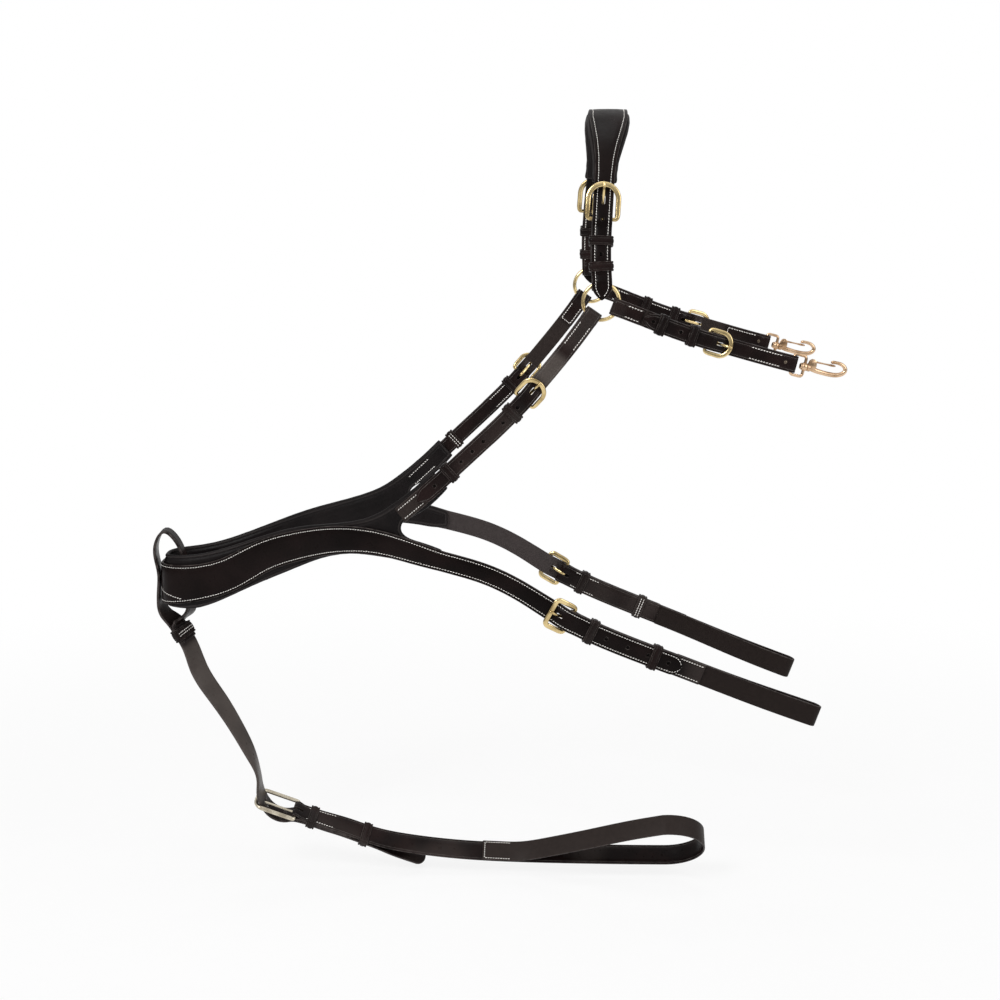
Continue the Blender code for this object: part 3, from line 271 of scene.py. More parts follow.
class ChestForm:
    """The upright surface round the horse that the flat pattern is wrapped on."""

    def __init__(self, plan: Table) -> None:
        """Works the surface out from its plan on one side.

        Args:
            plan: x and the distance out, from the middle of the chest backwards.
        """
        curve = Spline([(x, -y) for x, y in plan[:0:-1]] + list(plan))
        middle = (len(plan) - 1) * STEPS
        self.points = curve.points[middle:]
        self.along = curve.along[middle:] - curve.along[middle]
        heading = unit(np.gradient(self.points, axis=0))
        self.outward = np.column_stack([-heading[:, 1], heading[:, 0]])
        self.outward[self.along < 6.5] = (-1, 0)

    def place(self, u: float, z: float, n: float = 0.0) -> np.ndarray:
        """The near side's place for u above 0, the off side's for u below 0."""
        x, y = (np.interp(abs(u), self.along, self.points[:, i]) for i in (0, 1))
        return np.array([x, (-1 if u >= 0 else 1) * y, z]) + n * self.direction(u)

    def direction(self, u: float) -> np.ndarray:
        """The direction straight out of the surface at u."""
        x, y = (np.interp(abs(u), self.along, self.outward[:, i]) for i in (0, 1))
        return unit(np.array([x, (-1 if u >= 0 else 1) * y, 0]))


CHEST = ChestForm(PLAN)


class Route:
    """A strap's base line: a place, a heading, a width direction and an outward one at each distance."""

    def __init__(self, places: Sequence, outward: Sequence, pattern: np.ndarray | None = None) -> None:
        """Keeps the line and squares its outward directions to its headings.

        Args:
            places: points of the line.
            outward: a direction out of the strap's outer face at each point.
            pattern: u on the flat pattern at each point, if the route is drawn there.
        """
        self.places = np.asarray(places, float)
        self.along = lengths(self.places)
        self.length = self.along[-1]
        self.pattern = pattern
        self.heading = unit(np.gradient(self.places, axis=0))
        self.outward = squared(np.asarray(outward, float), self.heading)

    @classmethod
    def wrapped(cls, points: Table) -> "Route":
        """A route drawn on the flat pattern."""
        line = Spline(points).points
        return cls([CHEST.place(u, z) for u, z in line], [CHEST.direction(u) for u, z in line], line[:, 0])

    @classmethod
    def by_width(cls, places: Sequence, widths: Sequence) -> "Route":
        """A route in space, with the width direction that the strap has at each of its points."""
        line, across = np.hsplit(Spline(np.column_stack([places, np.asarray(widths) * 10])).points, 2)
        return cls(line, np.cross(across, np.gradient(line, axis=0)))

    def read(self, values: np.ndarray, s: float) -> np.ndarray:
        """Values kept for the route's points, read at a distance."""
        return np.array([np.interp(s, self.along, column) for column in values.T])

    def frame(self, s: float) -> tuple[np.ndarray, np.ndarray, np.ndarray]:
        """Heading, width direction and outward direction at a distance.

        Args:
            s: the distance.

        Returns:
            The three directions.
        """
        t = unit(self.read(self.heading, s))
        n = squared(self.read(self.outward, s), t)
        return t, np.cross(n, t), n

    def place(self, s: float, b: float = 0.0, n: float = 0.0) -> np.ndarray:
        """The place at a distance along, across and out.

        Args:
            s: distance along it, past its ends too.
            b: across.
            n: out.

        Returns:
            The place.
        """
        t, across, out = self.frame(s)
        inside = min(max(s, 0), self.length)
        return self.read(self.places, inside) + (s - inside) * t + b * across + n * out

    def where(self, u: float) -> float:
        """The distance at which the route reaches u on the flat pattern."""
        return float(np.interp(u, self.pattern, self.along))

    def at(self, x: float) -> float:
        """The distance of the route's point that lies nearest a cut across the horse at x."""
        return float(self.along[np.argmin(np.abs(self.places[:, 0] - x))])

    def nearest(self, place: Sequence) -> float:
        """The distance of the route's point that lies nearest a place."""
        return float(self.along[np.argmin(np.linalg.norm(self.places - np.asarray(place), axis=1))])


CHEST_LINE = Route.wrapped([(-u, z) for u, z in CHEST_ROUTE[:0:-1]] + CHEST_ROUTE)
RING_PLACE = CHEST.place(*RING_SPOT)


def vec(point: Sequence) -> Vector:
    """A place in millimetres as a vector in metres."""
    return Vector(point) * MM


def eased(knots: Table, coarse: float = 4.0, fine: float = 1.2) -> list[Pair]:
    """Stations through (s, n) knots, level where two agree and a soft step where they don't.

    Args:
        knots: the chosen stations.
        coarse: the longest distance between stations on a level stretch.
        fine: the same on a step.

    Returns:
        The stations, the knots among them.
    """
    stations = [tuple(knots[0])]
    for (s0, n0), (s1, n1) in zip(knots, knots[1:]):
        level = abs(n1 - n0) < 1e-6
        count = max(1 if level else 6, math.ceil(abs(s1 - s0) / (coarse if level else fine)))
        for i in range(1, count + 1):
            f = i / count
            stations.append((s0 + f * (s1 - s0), n0 + (1 - math.cos(math.pi * f)) / 2 * (n1 - n0)))
    return stations


def arc(centre: Pair, radius: float, start: float, end: float, steps: int = 16) -> list[Pair]:
    """Stations on an arc, with angles in degrees from the +s direction towards +n."""
    turn = [math.radians(start + (end - start) * i / steps) for i in range(steps + 1)]
    return [(centre[0] + radius * math.cos(a), centre[1] + radius * math.sin(a)) for a in turn]


def finished(bm: BMesh, sharp: float = 40.0) -> Mesh:
    """The mesh of a modelled solid, its faces turned outwards and smooth up to an angle.

    Args:
        bm: the solid, which is freed.
        sharp: edges with a larger angle, in degrees, stay sharp.

    Returns:
        The mesh.
    """
    bmesh.ops.recalc_face_normals(bm, faces=bm.faces)
    mesh = bpy.data.meshes.new("piece")
    bm.to_mesh(mesh)
    bm.free()
    mesh.shade_smooth()
    mesh.set_sharp_from_angle(angle=math.radians(sharp))
    return mesh


def sweep(sections: Sequence, marks: Sequence = (), closed: bool = False) -> BMesh:
    """A face extruded from section to section: a closed solid, or a ring if it meets its own start.

    Args:
        sections: the corners of each section, in millimetres.
        marks: for each section, each corner's values of MARKS for the leather.
        closed: whether the last section is joined to the first.

    Returns:
        The solid.
    """
    bm = bmesh.new()
    layers = [bm.verts.layers.float.new(name) for name in MARKS] if marks else []
    first = face = bm.faces.new([bm.verts.new((0, 0, 0)) for _ in sections[0]])
    for index, section in enumerate(sections):
        cap = first
        if index:
            made = bmesh.ops.extrude_face_region(bm, geom=[face])["geom"]
            cap = next(item for item in made if isinstance(item, BMFace))
        for corner, vert in enumerate(cap.verts):
            vert.co = vec(section[corner])
            for which, layer in enumerate(layers):
                vert[layer] = marks[index][corner][which]
        if index > 1:
            bm.faces.remove(face)
        face = cap
    if closed:
        loops = list(first.edges) + list(face.edges)
        bm.faces.remove(first)
        bm.faces.remove(face)
        bmesh.ops.bridge_loops(bm, edges=loops)
    return bm


def oval(middle: np.ndarray, side: np.ndarray, up: np.ndarray, wide: float, high: float, corners: int,
         power: float = 1.0) -> list[np.ndarray]:
    """The corners of a round or oval section.

    Args:
        middle: its middle.
        side: the direction of its width.
        up: the direction of its height.
        wide: half its width.
        high: half its height.
        corners: how many corners it has.
        power: 1 for an oval, and less for a squarer section.

    Returns:
        The corners.
    """
    section = []
    for i in range(corners):
        a = 2 * math.pi * (i + 0.5) / corners
        x, y = math.cos(a), math.sin(a)
        x, y = math.copysign(abs(x) ** power, x), math.copysign(abs(y) ** power, y)
        section.append(middle + wide * x * side + high * y * up)
    return section


def in_order(bm: BMesh) -> None:
    """Puts a solid's elements in the order of their places, so that each run merges and cuts them alike.

    Args:
        bm: the solid, in millimetres; its corners are rounded to a thousandth.
    """
    for vert in bm.verts:
        vert.co = [round(c, 3) for c in vert.co]
    bm.verts.sort(key=lambda v: v.co.x * 1e8 + v.co.y * 1e4 + v.co.z)
    bm.verts.index_update()
    count = len(bm.verts)

    def rank(item: BMEdge | BMFace) -> int:
        """A number for an edge or a face, from its first three corners."""
        a, b, c = (sorted(v.index for v in item.verts) + [0])[:3]
        return (a * count + b) * count + c

    bm.edges.sort(key=rank)
    bm.faces.sort(key=rank)


def mirror_image(mesh: Mesh) -> Mesh:
    """A near side mesh as it is on the off side.

    Args:
        mesh: the near side's.

    Returns:
        The off side's.
    """
    mirrored = mesh.copy()
    mirrored.transform(Matrix.Diagonal((1, -1, 1, 1)))
    mirrored.flip_normals()
    return mirrored


def joined(meshes: Iterable[Mesh]) -> Mesh:
    """Several meshes as one.

    Args:
        meshes: the meshes, which stay.

    Returns:
        The new mesh.
    """
    bm = bmesh.new()
    for mesh in meshes:
        bm.from_mesh(mesh)
    mesh = bpy.data.meshes.new("joined")
    bm.to_mesh(mesh)
    bm.free()
    return mesh


def evaluated(obj: Object) -> Mesh:
    """The object's mesh with its modifiers applied; the object itself is removed.

    Args:
        obj: the object, not yet in the scene.

    Returns:
        Its mesh.
    """
    bpy.context.scene.collection.objects.link(obj)
    bpy.context.view_layer.update()
    graph = bpy.context.evaluated_depsgraph_get()
    mesh = bpy.data.meshes.new_from_object(obj.evaluated_get(graph), preserve_all_data_layers=True,
                                           depsgraph=graph)
    bpy.data.objects.remove(obj, do_unlink=True)
    return mesh


def combined(mesh: Mesh, other: Mesh, operation: str) -> Mesh:
    """A Boolean of two closed meshes.

    Args:
        mesh: the mesh that is kept.
        other: the mesh that is cut from it or joined to it.
        operation: UNION or DIFFERENCE.

    Returns:
        The result.
    """
    body = bpy.data.objects.new("body", mesh)
    tool = bpy.data.objects.new("tool", other)
    bpy.context.scene.collection.objects.link(tool)
    step = body.modifiers.new("boolean", "BOOLEAN")
    step.operation = operation
    step.solver = "EXACT"
    step.object = tool
    result = evaluated(body)
    bpy.data.objects.remove(tool, do_unlink=True)
    return result


def punch(route: Route, s: float, n: float, half_s: float, half_b: float, tilt: float = 0.0,
          depth: float = 12.0, rim: float = 0.0) -> Mesh:
    """A punch for a hole: an upright oval bar through a strap.

    Args:
        route: the strap's route.
        s: distance along it.
        n: distance out.
        half_s: half the hole's length along the strap.
        half_b: half its width across.
        tilt: slope of the strap there, in degrees.
        depth: the bar's length.
        rim: half the strap's thickness, if the hole's rims are pressed in.

    Returns:
        Its mesh.
    """
    t, across, out = route.frame(s)
    turn = math.radians(tilt)
    t, out = math.cos(turn) * t + math.sin(turn) * out, math.cos(turn) * out - math.sin(turn) * t
    middle = route.place(s, 0, n)
    shift = max(half_s - half_b, 0)
    heights = [(-depth / 2, 0.0), (depth / 2, 0.0)]
    if rim:
        heights = [(-depth / 2, 0.6), (-rim, 0.6), (0.7 - rim, 0.0), (rim - 0.7, 0.0), (rim, 0.6),
                   (depth / 2, 0.6)]
    sections = []
    for height, wider in heights:
        section = oval(middle + height * out, t, across, min(half_s, half_b) + wider, half_b + wider, 16)
        sections.append([corner + (-shift if 4 <= i < 12 else shift) * t
                         for i, corner in enumerate(section)])
    # the hole's walls take the paler edge colour and a painted highlight
    return finished(sweep(sections, [[(0.0, 1.0, 1.0)] * 16] * len(sections)))


def turned(start: np.ndarray, axis: np.ndarray, side: np.ndarray, stations: Table,
           sides: int = 24) -> Mesh:
    """A turned piece.

    Args:
        start: the place on its axis that distances are taken from.
        axis: the axis' direction.
        side: a direction square to it.
        stations: distance along the axis and radius.
        sides: sides of its circles.

    Returns:
        Its mesh.
    """
    other = np.cross(axis, side)
    return finished(sweep([oval(start + s * axis, side, other, r, r, sides) for s, r in stations]))


@dataclass
class Thread:
    """Rows of stitches, as the small raised lengths of thread that show."""

    length: float = 2.3
    width: float = 1.0
    height: float = 0.8
    slant: float = 8.0
    places: list[Matrix] = field(default_factory=list)

    def row(self, points: Sequence, outward: Sequence) -> None:
        """Sews one row.

        Args:
            points: the line of the row, close points.
            outward: the direction out of the leather at each point.
        """
        points, outward = np.asarray(points, float), np.asarray(outward, float)
        along = lengths(points)
        count = max(1, round(along[-1] / PITCH))
        slant = math.radians(self.slant)
        for i in range(count):
            middle = (i + 0.5) * along[-1] / count
            ends = [np.array([np.interp(middle + d, along, c) for c in points.T]) for d in (-0.5, 0.5)]
            out = np.array([np.interp(middle, along, c) for c in outward.T])
            x = unit(ends[1] - ends[0])
            z = squared(out, x)
            y = np.cross(z, x)
            x, y = math.cos(slant) * x + math.sin(slant) * y, math.cos(slant) * y - math.sin(slant) * x
            turn = Matrix((x * self.length, y * self.width, z * self.height)).transposed() * (MM / 2)
            self.places.append(Matrix.Translation(vec((ends[0] + ends[1]) / 2)) @ turn.to_4x4())

    def stitch(self) -> Mesh:
        """One stitch: a round-ended length of thread along X, of half length, width and height 1.

        Returns:
            Its mesh.
        """
        bm = bmesh.new()
        lying = Matrix.Rotation(math.pi / 2, 4, "Y")
        bmesh.ops.create_uvsphere(bm, u_segments=6, v_segments=5, radius=1.0, matrix=lying)
        for vert in bm.verts:
            vert.co.x = 0.6 * vert.co.x + math.copysign(0.4, vert.co.x)
        return finished(bm, sharp=80.0)

    def mesh(self) -> Mesh:
        """All rows as one mesh.

        Returns:
            The mesh.
        """
        stitch, bm = self.stitch(), bmesh.new()
        for place in self.places:
            copy = stitch.copy()
            copy.transform(place)
            bm.from_mesh(copy)
            bpy.data.meshes.remove(copy)
        return finished(bm, sharp=80.0)


@dataclass
class Strap:
    """A leather strap: a rounded, grooved section swept along its run of (s, n) stations."""

    route: Route
    run: Sequence
    width: float | Callable[[float], float]
    thick: float
    tips: tuple[Tip, Tip] = (Tip.SQUARE, Tip.SQUARE)
    groove: float = 2.5     # distance of the pressed lines from the edges
    crown: float = 0.0
    groove_depth: float = 0.32
    round: float = 0.95
    crease_highlight_share: float = 1.0       # how strong the painted highlight on the pressed lines is
    hide: Hide = Hide.GRAIN_OUT
    rubbed_and_sheen: Pair = (0, 0)   # where along it a painted sheen lies on the grain, from and to

    def __post_init__(self) -> None:
        """Measures the run, and adds close stations where its tips are shaped."""
        self.run = np.asarray(self.with_tip_stations(list(map(tuple, self.run))), float)
        self.turn = self.hide.value or 1
        self.along = lengths(self.run)
        self.thread = Thread()

    def with_tip_stations(self, run: list[Pair]) -> list[Pair]:
        """The run with close stations near its shaped ends.

        Args:
            run: the run.

        Returns:
            The new run.
        """
        for end, tip in enumerate(self.tips):
            line = run if end else run[::-1]
            s1, n1 = line[-1]
            way = 1 if s1 > line[-2][0] else -1
            reach = tip.value or 0.5
            kept = [p for p in line if abs(s1 - p[0]) > reach + 0.3 or abs(p[1] - n1) > 3.0]
            shares = [1 - math.sin(math.pi / 2 * i / 12) for i in range(13)] if tip.value else (1, 0)
            line = kept + [(s1 - way * reach * share, n1) for share in shares]
            run = line if end else line[::-1]
        return run

    def half(self, index: int) -> float:
        """Half the strap's width at a station.

        Args:
            index: the station.

        Returns:
            Half the width.
        """
        s = self.run[index][0]
        half = (self.width(s) if callable(self.width) else self.width) / 2
        for tip, end in zip(self.tips, (self.along[index], self.along[-1] - self.along[index])):
            half *= tip.share(end)
        return half

    def profile(self, half: float, shrink: float) -> tuple[list[Pair], list[Pair]]:
        """The section of the strap.

        Args:
            half: half its width.
            shrink: how much smaller it is all round, at a cut end.

        Returns:
            Its corners as (b, n), and their marks.
        """
        half, thick = max(half - shrink, 0.4), self.thick / 2 - shrink
        r = min(self.round, thick * 0.9, half * 0.5)
        corner = [(half - r + r * math.cos(a), thick - r + r * math.sin(a))
                  for a in (0.0, math.pi / 6, math.pi / 3, math.pi / 2)]
        top, crease_highlight = list(corner), []
        for shift, low in ((-0.6, 0.0), (0.0, self.groove_depth), (0.6, 0.0)):
            inset = (self.groove + shift) * min(1.0, half / (self.groove + 3.0))
            if low:
                crease_highlight.append(len(top))
            top.append((half - max(inset, r + 0.05), thick - low))
        inner = top[-1][0]
        top += [(inner * 0.6, thick + self.crown * 0.75), (0.0, thick + self.crown)]
        crease_highlight += [2 * len(top) - 2 - i for i in crease_highlight]
        top += [(-b, n) for b, n in top[-2::-1]]
        bottom = [(-b, -n) for b, n in corner] + [(0.0, -thick)] + [(b, -n) for b, n in corner[::-1]]
        corners = top + bottom
        lined = self.hide is Hide.LINED
        # the groove bottoms are marked for a painted highlight line
        marks = [(half - abs(b), 1.0 if lined else n / thick, self.crease_highlight_share if i in crease_highlight else 0.0)
                 for i, (b, n) in enumerate(corners)]
        return corners, marks

    def mesh(self) -> Mesh:
        """The strap's mesh.

        Returns:
            The mesh, with the leather's marks.
        """
        step = unit(np.gradient(self.run, self.along, axis=0))
        sections, marks = [], []
        last = len(self.run) - 1
        for i, (s, n) in enumerate(self.run):
            t, across, out = self.route.frame(s)
            normal = self.turn * (step[i, 0] * out - step[i, 1] * t)
            middle = self.route.place(s, 0, n)
            shrink = 0.45 if i in (0, last) else 0.0
            corners, values = self.profile(self.half(i), shrink)
            sections.append([middle + b * self.turn * across + h * normal for b, h in corners])
            # painted sheen: along the strap's sheen stretch the grain's face mark is raised above 1
            sheen_share = min(max(min(self.along[i] - self.rubbed_and_sheen[0], self.rubbed_and_sheen[1] - self.along[i]) / 18, 0), 1)
            marks.append([(edge, face + 1.3 * sheen_share if face > 0.5 else face, crease_highlight)
                          for edge, face, crease_highlight in values])
        return finished(sweep(sections, marks))

    def leg(self, way: int, middle: float) -> list[int]:
        """The stations of the first part of the run that heads one way along the route past a place.

        Args:
            way: 1 toward +s, -1 toward -s.
            middle: the place, as s.

        Returns:
            The stations, in the order of their s.
        """
        ahead = np.gradient(self.run[:, 0]) * way > 1e-4
        turns = np.flatnonzero(np.diff(ahead.astype(int))) + 1
        for part in np.split(np.arange(len(self.run)), turns):
            reach = self.run[part, 0]
            if ahead[part[0]] and reach.min() <= middle <= reach.max():
                return sorted(part, key=lambda i: self.run[i][0])
        raise ValueError(f"no part of the strap heads {way} past {middle}")

    def seam(self, start: float, end: float, inset: float, way: int, face: Face,
             sides: Sequence = (1, -1), across_at: float | None = None) -> None:
        """Sews a row along one or both edges.

        Args:
            start: where the rows start, as s.
            end: where they end.
            inset: distance from the strap's edge.
            way: which leg of the run they are on, the one that heads to +s or to -s.
            face: the face that they show on.
            sides: the edges, 1 and -1.
            across_at: where a row crosses the strap from one edge row to the other, as s.
        """
        stations = self.leg(way, (start + end) / 2)
        places = [self.run[i][0] for i in stations]
        flip = way * face.value * self.turn

        def spot(s: float, share: float) -> tuple[np.ndarray, np.ndarray]:
            """A place on the face, and its outward way.

            Args:
                s: its distance along the strap.
                share: its share of the way from the middle to the row.

            Returns:
                The place and the direction.
            """
            half = float(np.interp(s, places, [self.half(i) for i in stations]))
            level = float(np.interp(s, places, [self.run[i][1] for i in stations]))
            grooved = face is Face.GRAIN and abs(self.groove - inset) < 0.2
            sunk = self.groove_depth if grooved else 0.1
            out = self.route.frame(s)[2] * flip
            return self.route.place(s, share * (half - inset), level + flip * (self.thick / 2 - sunk)), out

        for side in sides:
            self.thread.row(*zip(*[spot(s, side) for s in np.linspace(start, end, 40)]))
        if across_at is not None:
            self.thread.row(*zip(*[spot(across_at, share) for share in np.linspace(-1, 1, 9)]))

    def outline_seam(self, inset: float) -> None:
        """Sews a row all round the outer face of a strap that runs along its route, inside its edges.

        Args:
            inset: distance from the edge.
        """
        rows: dict[int, list] = {1: [], -1: []}
        for i, (s, n) in enumerate(self.run):
            room = self.half(i) - inset
            if room <= 0:
                continue
            level = n + self.thick / 2 - self.groove_depth
            for side in rows:
                rows[side].append((self.route.place(s, side * room, level), self.route.frame(s)[2]))
        self.thread.row(*zip(*rows[1] + rows[-1][::-1] + rows[1][:1]))


def keeper_mesh(route: Route, s: float, low: float, high: float, width: float,
                length: float = KEEPER_LENGTH) -> Mesh:
    """A keeper: a ridged leather band round a stack of straps that lies between two levels.

    Args:
        route: the straps' route.
        s: the band's middle.
        low: lowest level of the leather in it.
        high: highest level.
        width: width of the straps.
        length: the band's length along them.

    Returns:
        Its mesh, with the leather's marks.
    """
    t, across, out = route.frame(s)
    middle = route.place(s)
    half, corner = width / 2 + KEEPER_PLAY, 1.4
    low, high = low - KEEPER_PLAY, high + KEEPER_PLAY
    e, thick, line = length / 2, KEEPER_THICK, length / 2 - 2.3
    side = [(e, 0.35), (e, thick - 0.55), (e - 0.25, thick - 0.15), (e - 0.8, thick),
            (line + 0.7, thick - 0.1), (line, thick - 0.75), (line - 0.7, thick)]
    ridge = [(-e + 0.3, 0.0), (0.0, 0.0), (e - 0.3, 0.0)] + side + [(0.0, thick + 0.3)]
    ridge += [(-a, r) for a, r in side[::-1]]
    # the keeper's grooves are marked for a painted highlight line
    marks = [(e - abs(a), 1.0 if r > 0.2 else -1.0, 0.8 if a in (line, -line) else 0.0) for a, r in ridge]
    sections = []
    for quadrant, (b, n) in enumerate(((1, 1), (-1, 1), (-1, -1), (1, -1))):
        pivot = b * (half - corner) * across + ((high - corner) if n > 0 else (low + corner)) * out
        for i in range(7):
            a = math.radians(90 * quadrant + 15 * i)
            radial = math.cos(a) * across + math.sin(a) * out
            sections.append([middle + pivot + (corner + r) * radial + x * t for x, r in ridge])
    return finished(sweep(sections, [marks] * len(sections), closed=True))


def keeper_stitches(route: Route, s: float, low: float, width: float) -> Mesh:
    """The two rows that close a sliding keeper, on its inner face.

    Args:
        route: the straps' route.
        s: the keeper's middle.
        low: lowest level of the leather in it.
        width: width of the straps.

    Returns:
        The stitches.
    """
    out, thread = route.frame(s)[2], Thread()
    level = low - KEEPER_PLAY - KEEPER_THICK - 0.1
    for shift in (-1.5, 1.5):
        line = [route.place(s + shift, b, level) for b in np.linspace(-width / 2, width / 2, 9)]
        thread.row(line, [-out] * len(line))
    return thread.mesh()


@dataclass
class Buckle:
    """A buckle and what it holds: a chape folded round its heel bar and a billet over it.

    d runs from the heel bar towards the outer bar, and h is the height over the heel bar's axis.
    """

    route: Route
    heel: float          # the heel bar's distance along the route
    way: int             # +1 if the outer bar is further along the route, -1 if it is nearer
    level: float         # n of the heel bar's axis, the middle of the chape's two plies
    size: tuple[float, float, float]
    chape: float         # thickness of the chape
    billet: float        # thickness of the billet
    billet_width: float
    arched: bool = True
    billet_in: float = 0.5   # h of the billet's middle where it passes the outer bar
    fold: float = 40.0       # length of the chape's turned-back ply
    drops: bool = False      # whether the billet reaches past the turned-back ply, and comes down
    flat: bool = False       # whether the frame lies in the plane of the chape
    corner: float = 3.5      # radius of the outer corners of a square frame
    flare: float = 1.3       # how much wider the frame is than its wire, away from the heel bar

    def __post_init__(self) -> None:
        """Works out the levels of what the buckle holds."""
        self.wire, self.room, self.reach = self.size
        self.turn = self.wire + GAP + self.chape / 2
        self.ply = (self.chape + GAP) / 2
        self.top = self.turn + self.chape / 2 + GAP + self.billet / 2
        self.rest = self.ply + self.chape / 2 + GAP + self.billet / 2
        self.low = self.rest - self.chape - GAP
        self.root = self.wire + GAP + TONGUE_THICK / 2
        self.half = self.room / 2 + self.wire
        self.bow = 0.42 * self.reach if self.arched else 0.0
        clear = [self.clear_bar(b) for b in np.linspace(0, self.billet_width / 2, 6)]
        self.bar = 0.0 if self.flat else max(clear)

    def outline(self, b: float) -> float:
        """d of the frame's outer bar at b across.

        Args:
            b: distance across.

        Returns:
            The distance from the heel bar.
        """
        if not self.arched:
            return self.reach
        return self.reach - self.bow + self.bow * math.sqrt(max(0.0, 1 - (b / self.half) ** 2))

    def clear_bar(self, b: float) -> float:
        """Height of the outer bar that keeps the frame clear of the billet at b across."""
        d = self.outline(b)
        return (self.billet_at(d) + self.billet / 2 + 1.6 * GAP + self.wire) * self.reach / d

    def billet_at(self, d: float) -> float:
        """The billet's middle between the bars.

        Args:
            d: distance from the heel bar.

        Returns:
            Its height.
        """
        far, near = self.reach + 2.0, 1.5
        f = min(max((far - d) / (far - near), 0), 1)
        return self.billet_in + (1 - math.cos(math.pi * f)) / 2 * (self.top - self.billet_in)

    def to_route(self, points: Iterable[Pair]) -> list[Pair]:
        """Route stations (s, n) from (d, h) ones."""
        return [(self.heel + self.way * d, self.level + h) for d, h in points]

    def chape_wrap(self) -> list[Pair]:
        """The chape's run: turned-back ply, round the heel bar, to the lower ply.

        Returns:
            Its stations.
        """
        upper = eased([(-self.fold, self.ply), (-8, self.ply), (0, self.turn)])
        lower = eased([(0, -self.turn), (-8, -self.ply)])
        return self.to_route(upper[:-1] + arc((0, 0), self.turn, 90, -90) + lower[1:])

    def billet_run(self) -> list[Pair]:
        """The billet's run from outside the outer bar, over the heel bar, to past the chape's end.

        Returns:
            Its stations.
        """
        knots = [(self.reach + 12, self.billet_in), (self.reach + 2, self.billet_in),
                 (1.5, self.top), (-1.5, self.top), (-11, self.rest)]
        if self.drops:
            knots += [(-self.fold - 1, self.rest), (-self.fold - 10, self.low)]
        return self.to_route(eased(knots))

    def frame_line(self) -> list[tuple[float, float, float]]:
        """The frame's outline as (b, d, share), where share is 0 at the heel bar and 1 away from it.

        Returns:
            The outline's points.
        """
        line = []
        heel = 2.5
        for quadrant, b in enumerate((-1, 1)):
            for i in range(7):
                a = math.radians(180 + 90 * quadrant + 15 * i)
                share = i / 6 if quadrant else 1 - i / 6
                line.append((b * (self.half - heel) + heel * math.cos(a), heel + heel * math.sin(a),
                             0.7 * share))
        line.append((self.half, heel + 2.5, 1.0))
        if self.arched:
            for i in range(33):
                a = math.pi * i / 32
                line.append((self.half * math.cos(a), self.reach - self.bow + self.bow * math.sin(a), 1.0))
        else:
            for quadrant, b in enumerate((1, -1)):
                for i in range(9):
                    a = math.radians(90 * quadrant + 11.25 * i)
                    line.append((b * (self.half - self.corner) + self.corner * math.cos(a),
                                 self.reach - self.corner + self.corner * math.sin(a), 1.0))
        line.append((-self.half, heel + 2.5, 1.0))
        return line

    def frame_mesh(self) -> Mesh:
        """The brass frame: a round heel bar that widens into a flattened band.

        Returns:
            Its mesh.
        """
        t, across, out = self.route.frame(self.heel)
        centre = self.route.place(self.heel, 0, self.level)
        ahead = self.way * t + self.bar / self.reach * out
        up = np.cross(across, unit(ahead))
        line = self.frame_line()
        sections = []
        for i, (b, d, share) in enumerate(line):
            (b0, d0, _), (b1, d1, _) = line[i - 1], line[(i + 1) % len(line)]
            run = unit(np.array([b1 - b0, d1 - d0]))
            side = run[1] * across - run[0] * unit(ahead)
            wide, high = self.wire + self.flare / 2 * share, self.wire * (1 - 0.12 * share)
            middle = centre + b * across + d * ahead + side * self.flare / 2 * share
            sections.append(oval(middle, side, up, wide, high, 16, 1 - 0.38 * share))
        return finished(sweep(sections, closed=True), sharp=60.0)

    def tongue_line(self) -> list[Pair]:
        """The tongue: curled round the heel bar, up through the billet, resting on the outer bar.

        Returns:
            Its middle line as (d, h).
        """
        if self.flat:
            seat = self.wire + GAP + TONGUE_THICK / 2
            return arc((0, 0), self.root, 200, 90, 10) + [(0.3 * self.reach, self.root),
                                                          (self.reach, seat),
                                                          (self.reach + self.wire + 0.6, seat)]
        seat = self.bar + self.wire + GAP + TONGUE_THICK / 2
        through = self.billet / 2 + TONGUE_THICK / 2
        d1, d2 = 0.48 * self.reach, 0.70 * self.reach
        shaft = [(0.25 * self.reach, 0.5 * (self.billet_at(d1) - through - 0.6 - self.root)),
                 (d1, self.billet_at(d1) - through - 0.6), (d2, self.billet_at(d2) + through + 0.3),
                 (self.reach - 1.5, seat), (self.reach + self.wire + 0.6, seat - 0.2)]
        return arc((0, 0), self.root, 75, 270, 12) + shaft

    def tongue_mesh(self) -> Mesh:
        """The brass tongue: rounded, flatter round the heel bar, narrower at its tip.

        Returns:
            Its mesh.
        """
        t, across, out = self.route.frame(self.heel)
        centre = self.route.place(self.heel, 0, self.level)
        line = np.asarray(self.tongue_line())
        curl = len(line) - (3 if self.flat else 5)
        shaft = Spline(line[curl - 2:], 5).points
        line = np.vstack([line[:curl - 2], shaft])
        step = unit(np.gradient(line, axis=0))
        along = lengths(line)
        sections = []
        for i, (d, h) in enumerate(line):
            up = -step[i, 1] * self.way * t + step[i, 0] * out
            left = along[-1] - along[i]
            taper = 0.72 + 0.28 * min(left / (0.6 * self.reach), 1)
            end = 0.55 if left < 0.01 or along[i] < 0.01 else 1.0
            wide, high = TONGUE_WIDTH / 2 * taper * end, TONGUE_THICK / 2 * end
            sections.append(oval(centre + d * self.way * t + h * out, across, up, wide, high, 12, 0.75))
        return finished(sweep(sections), sharp=50.0)

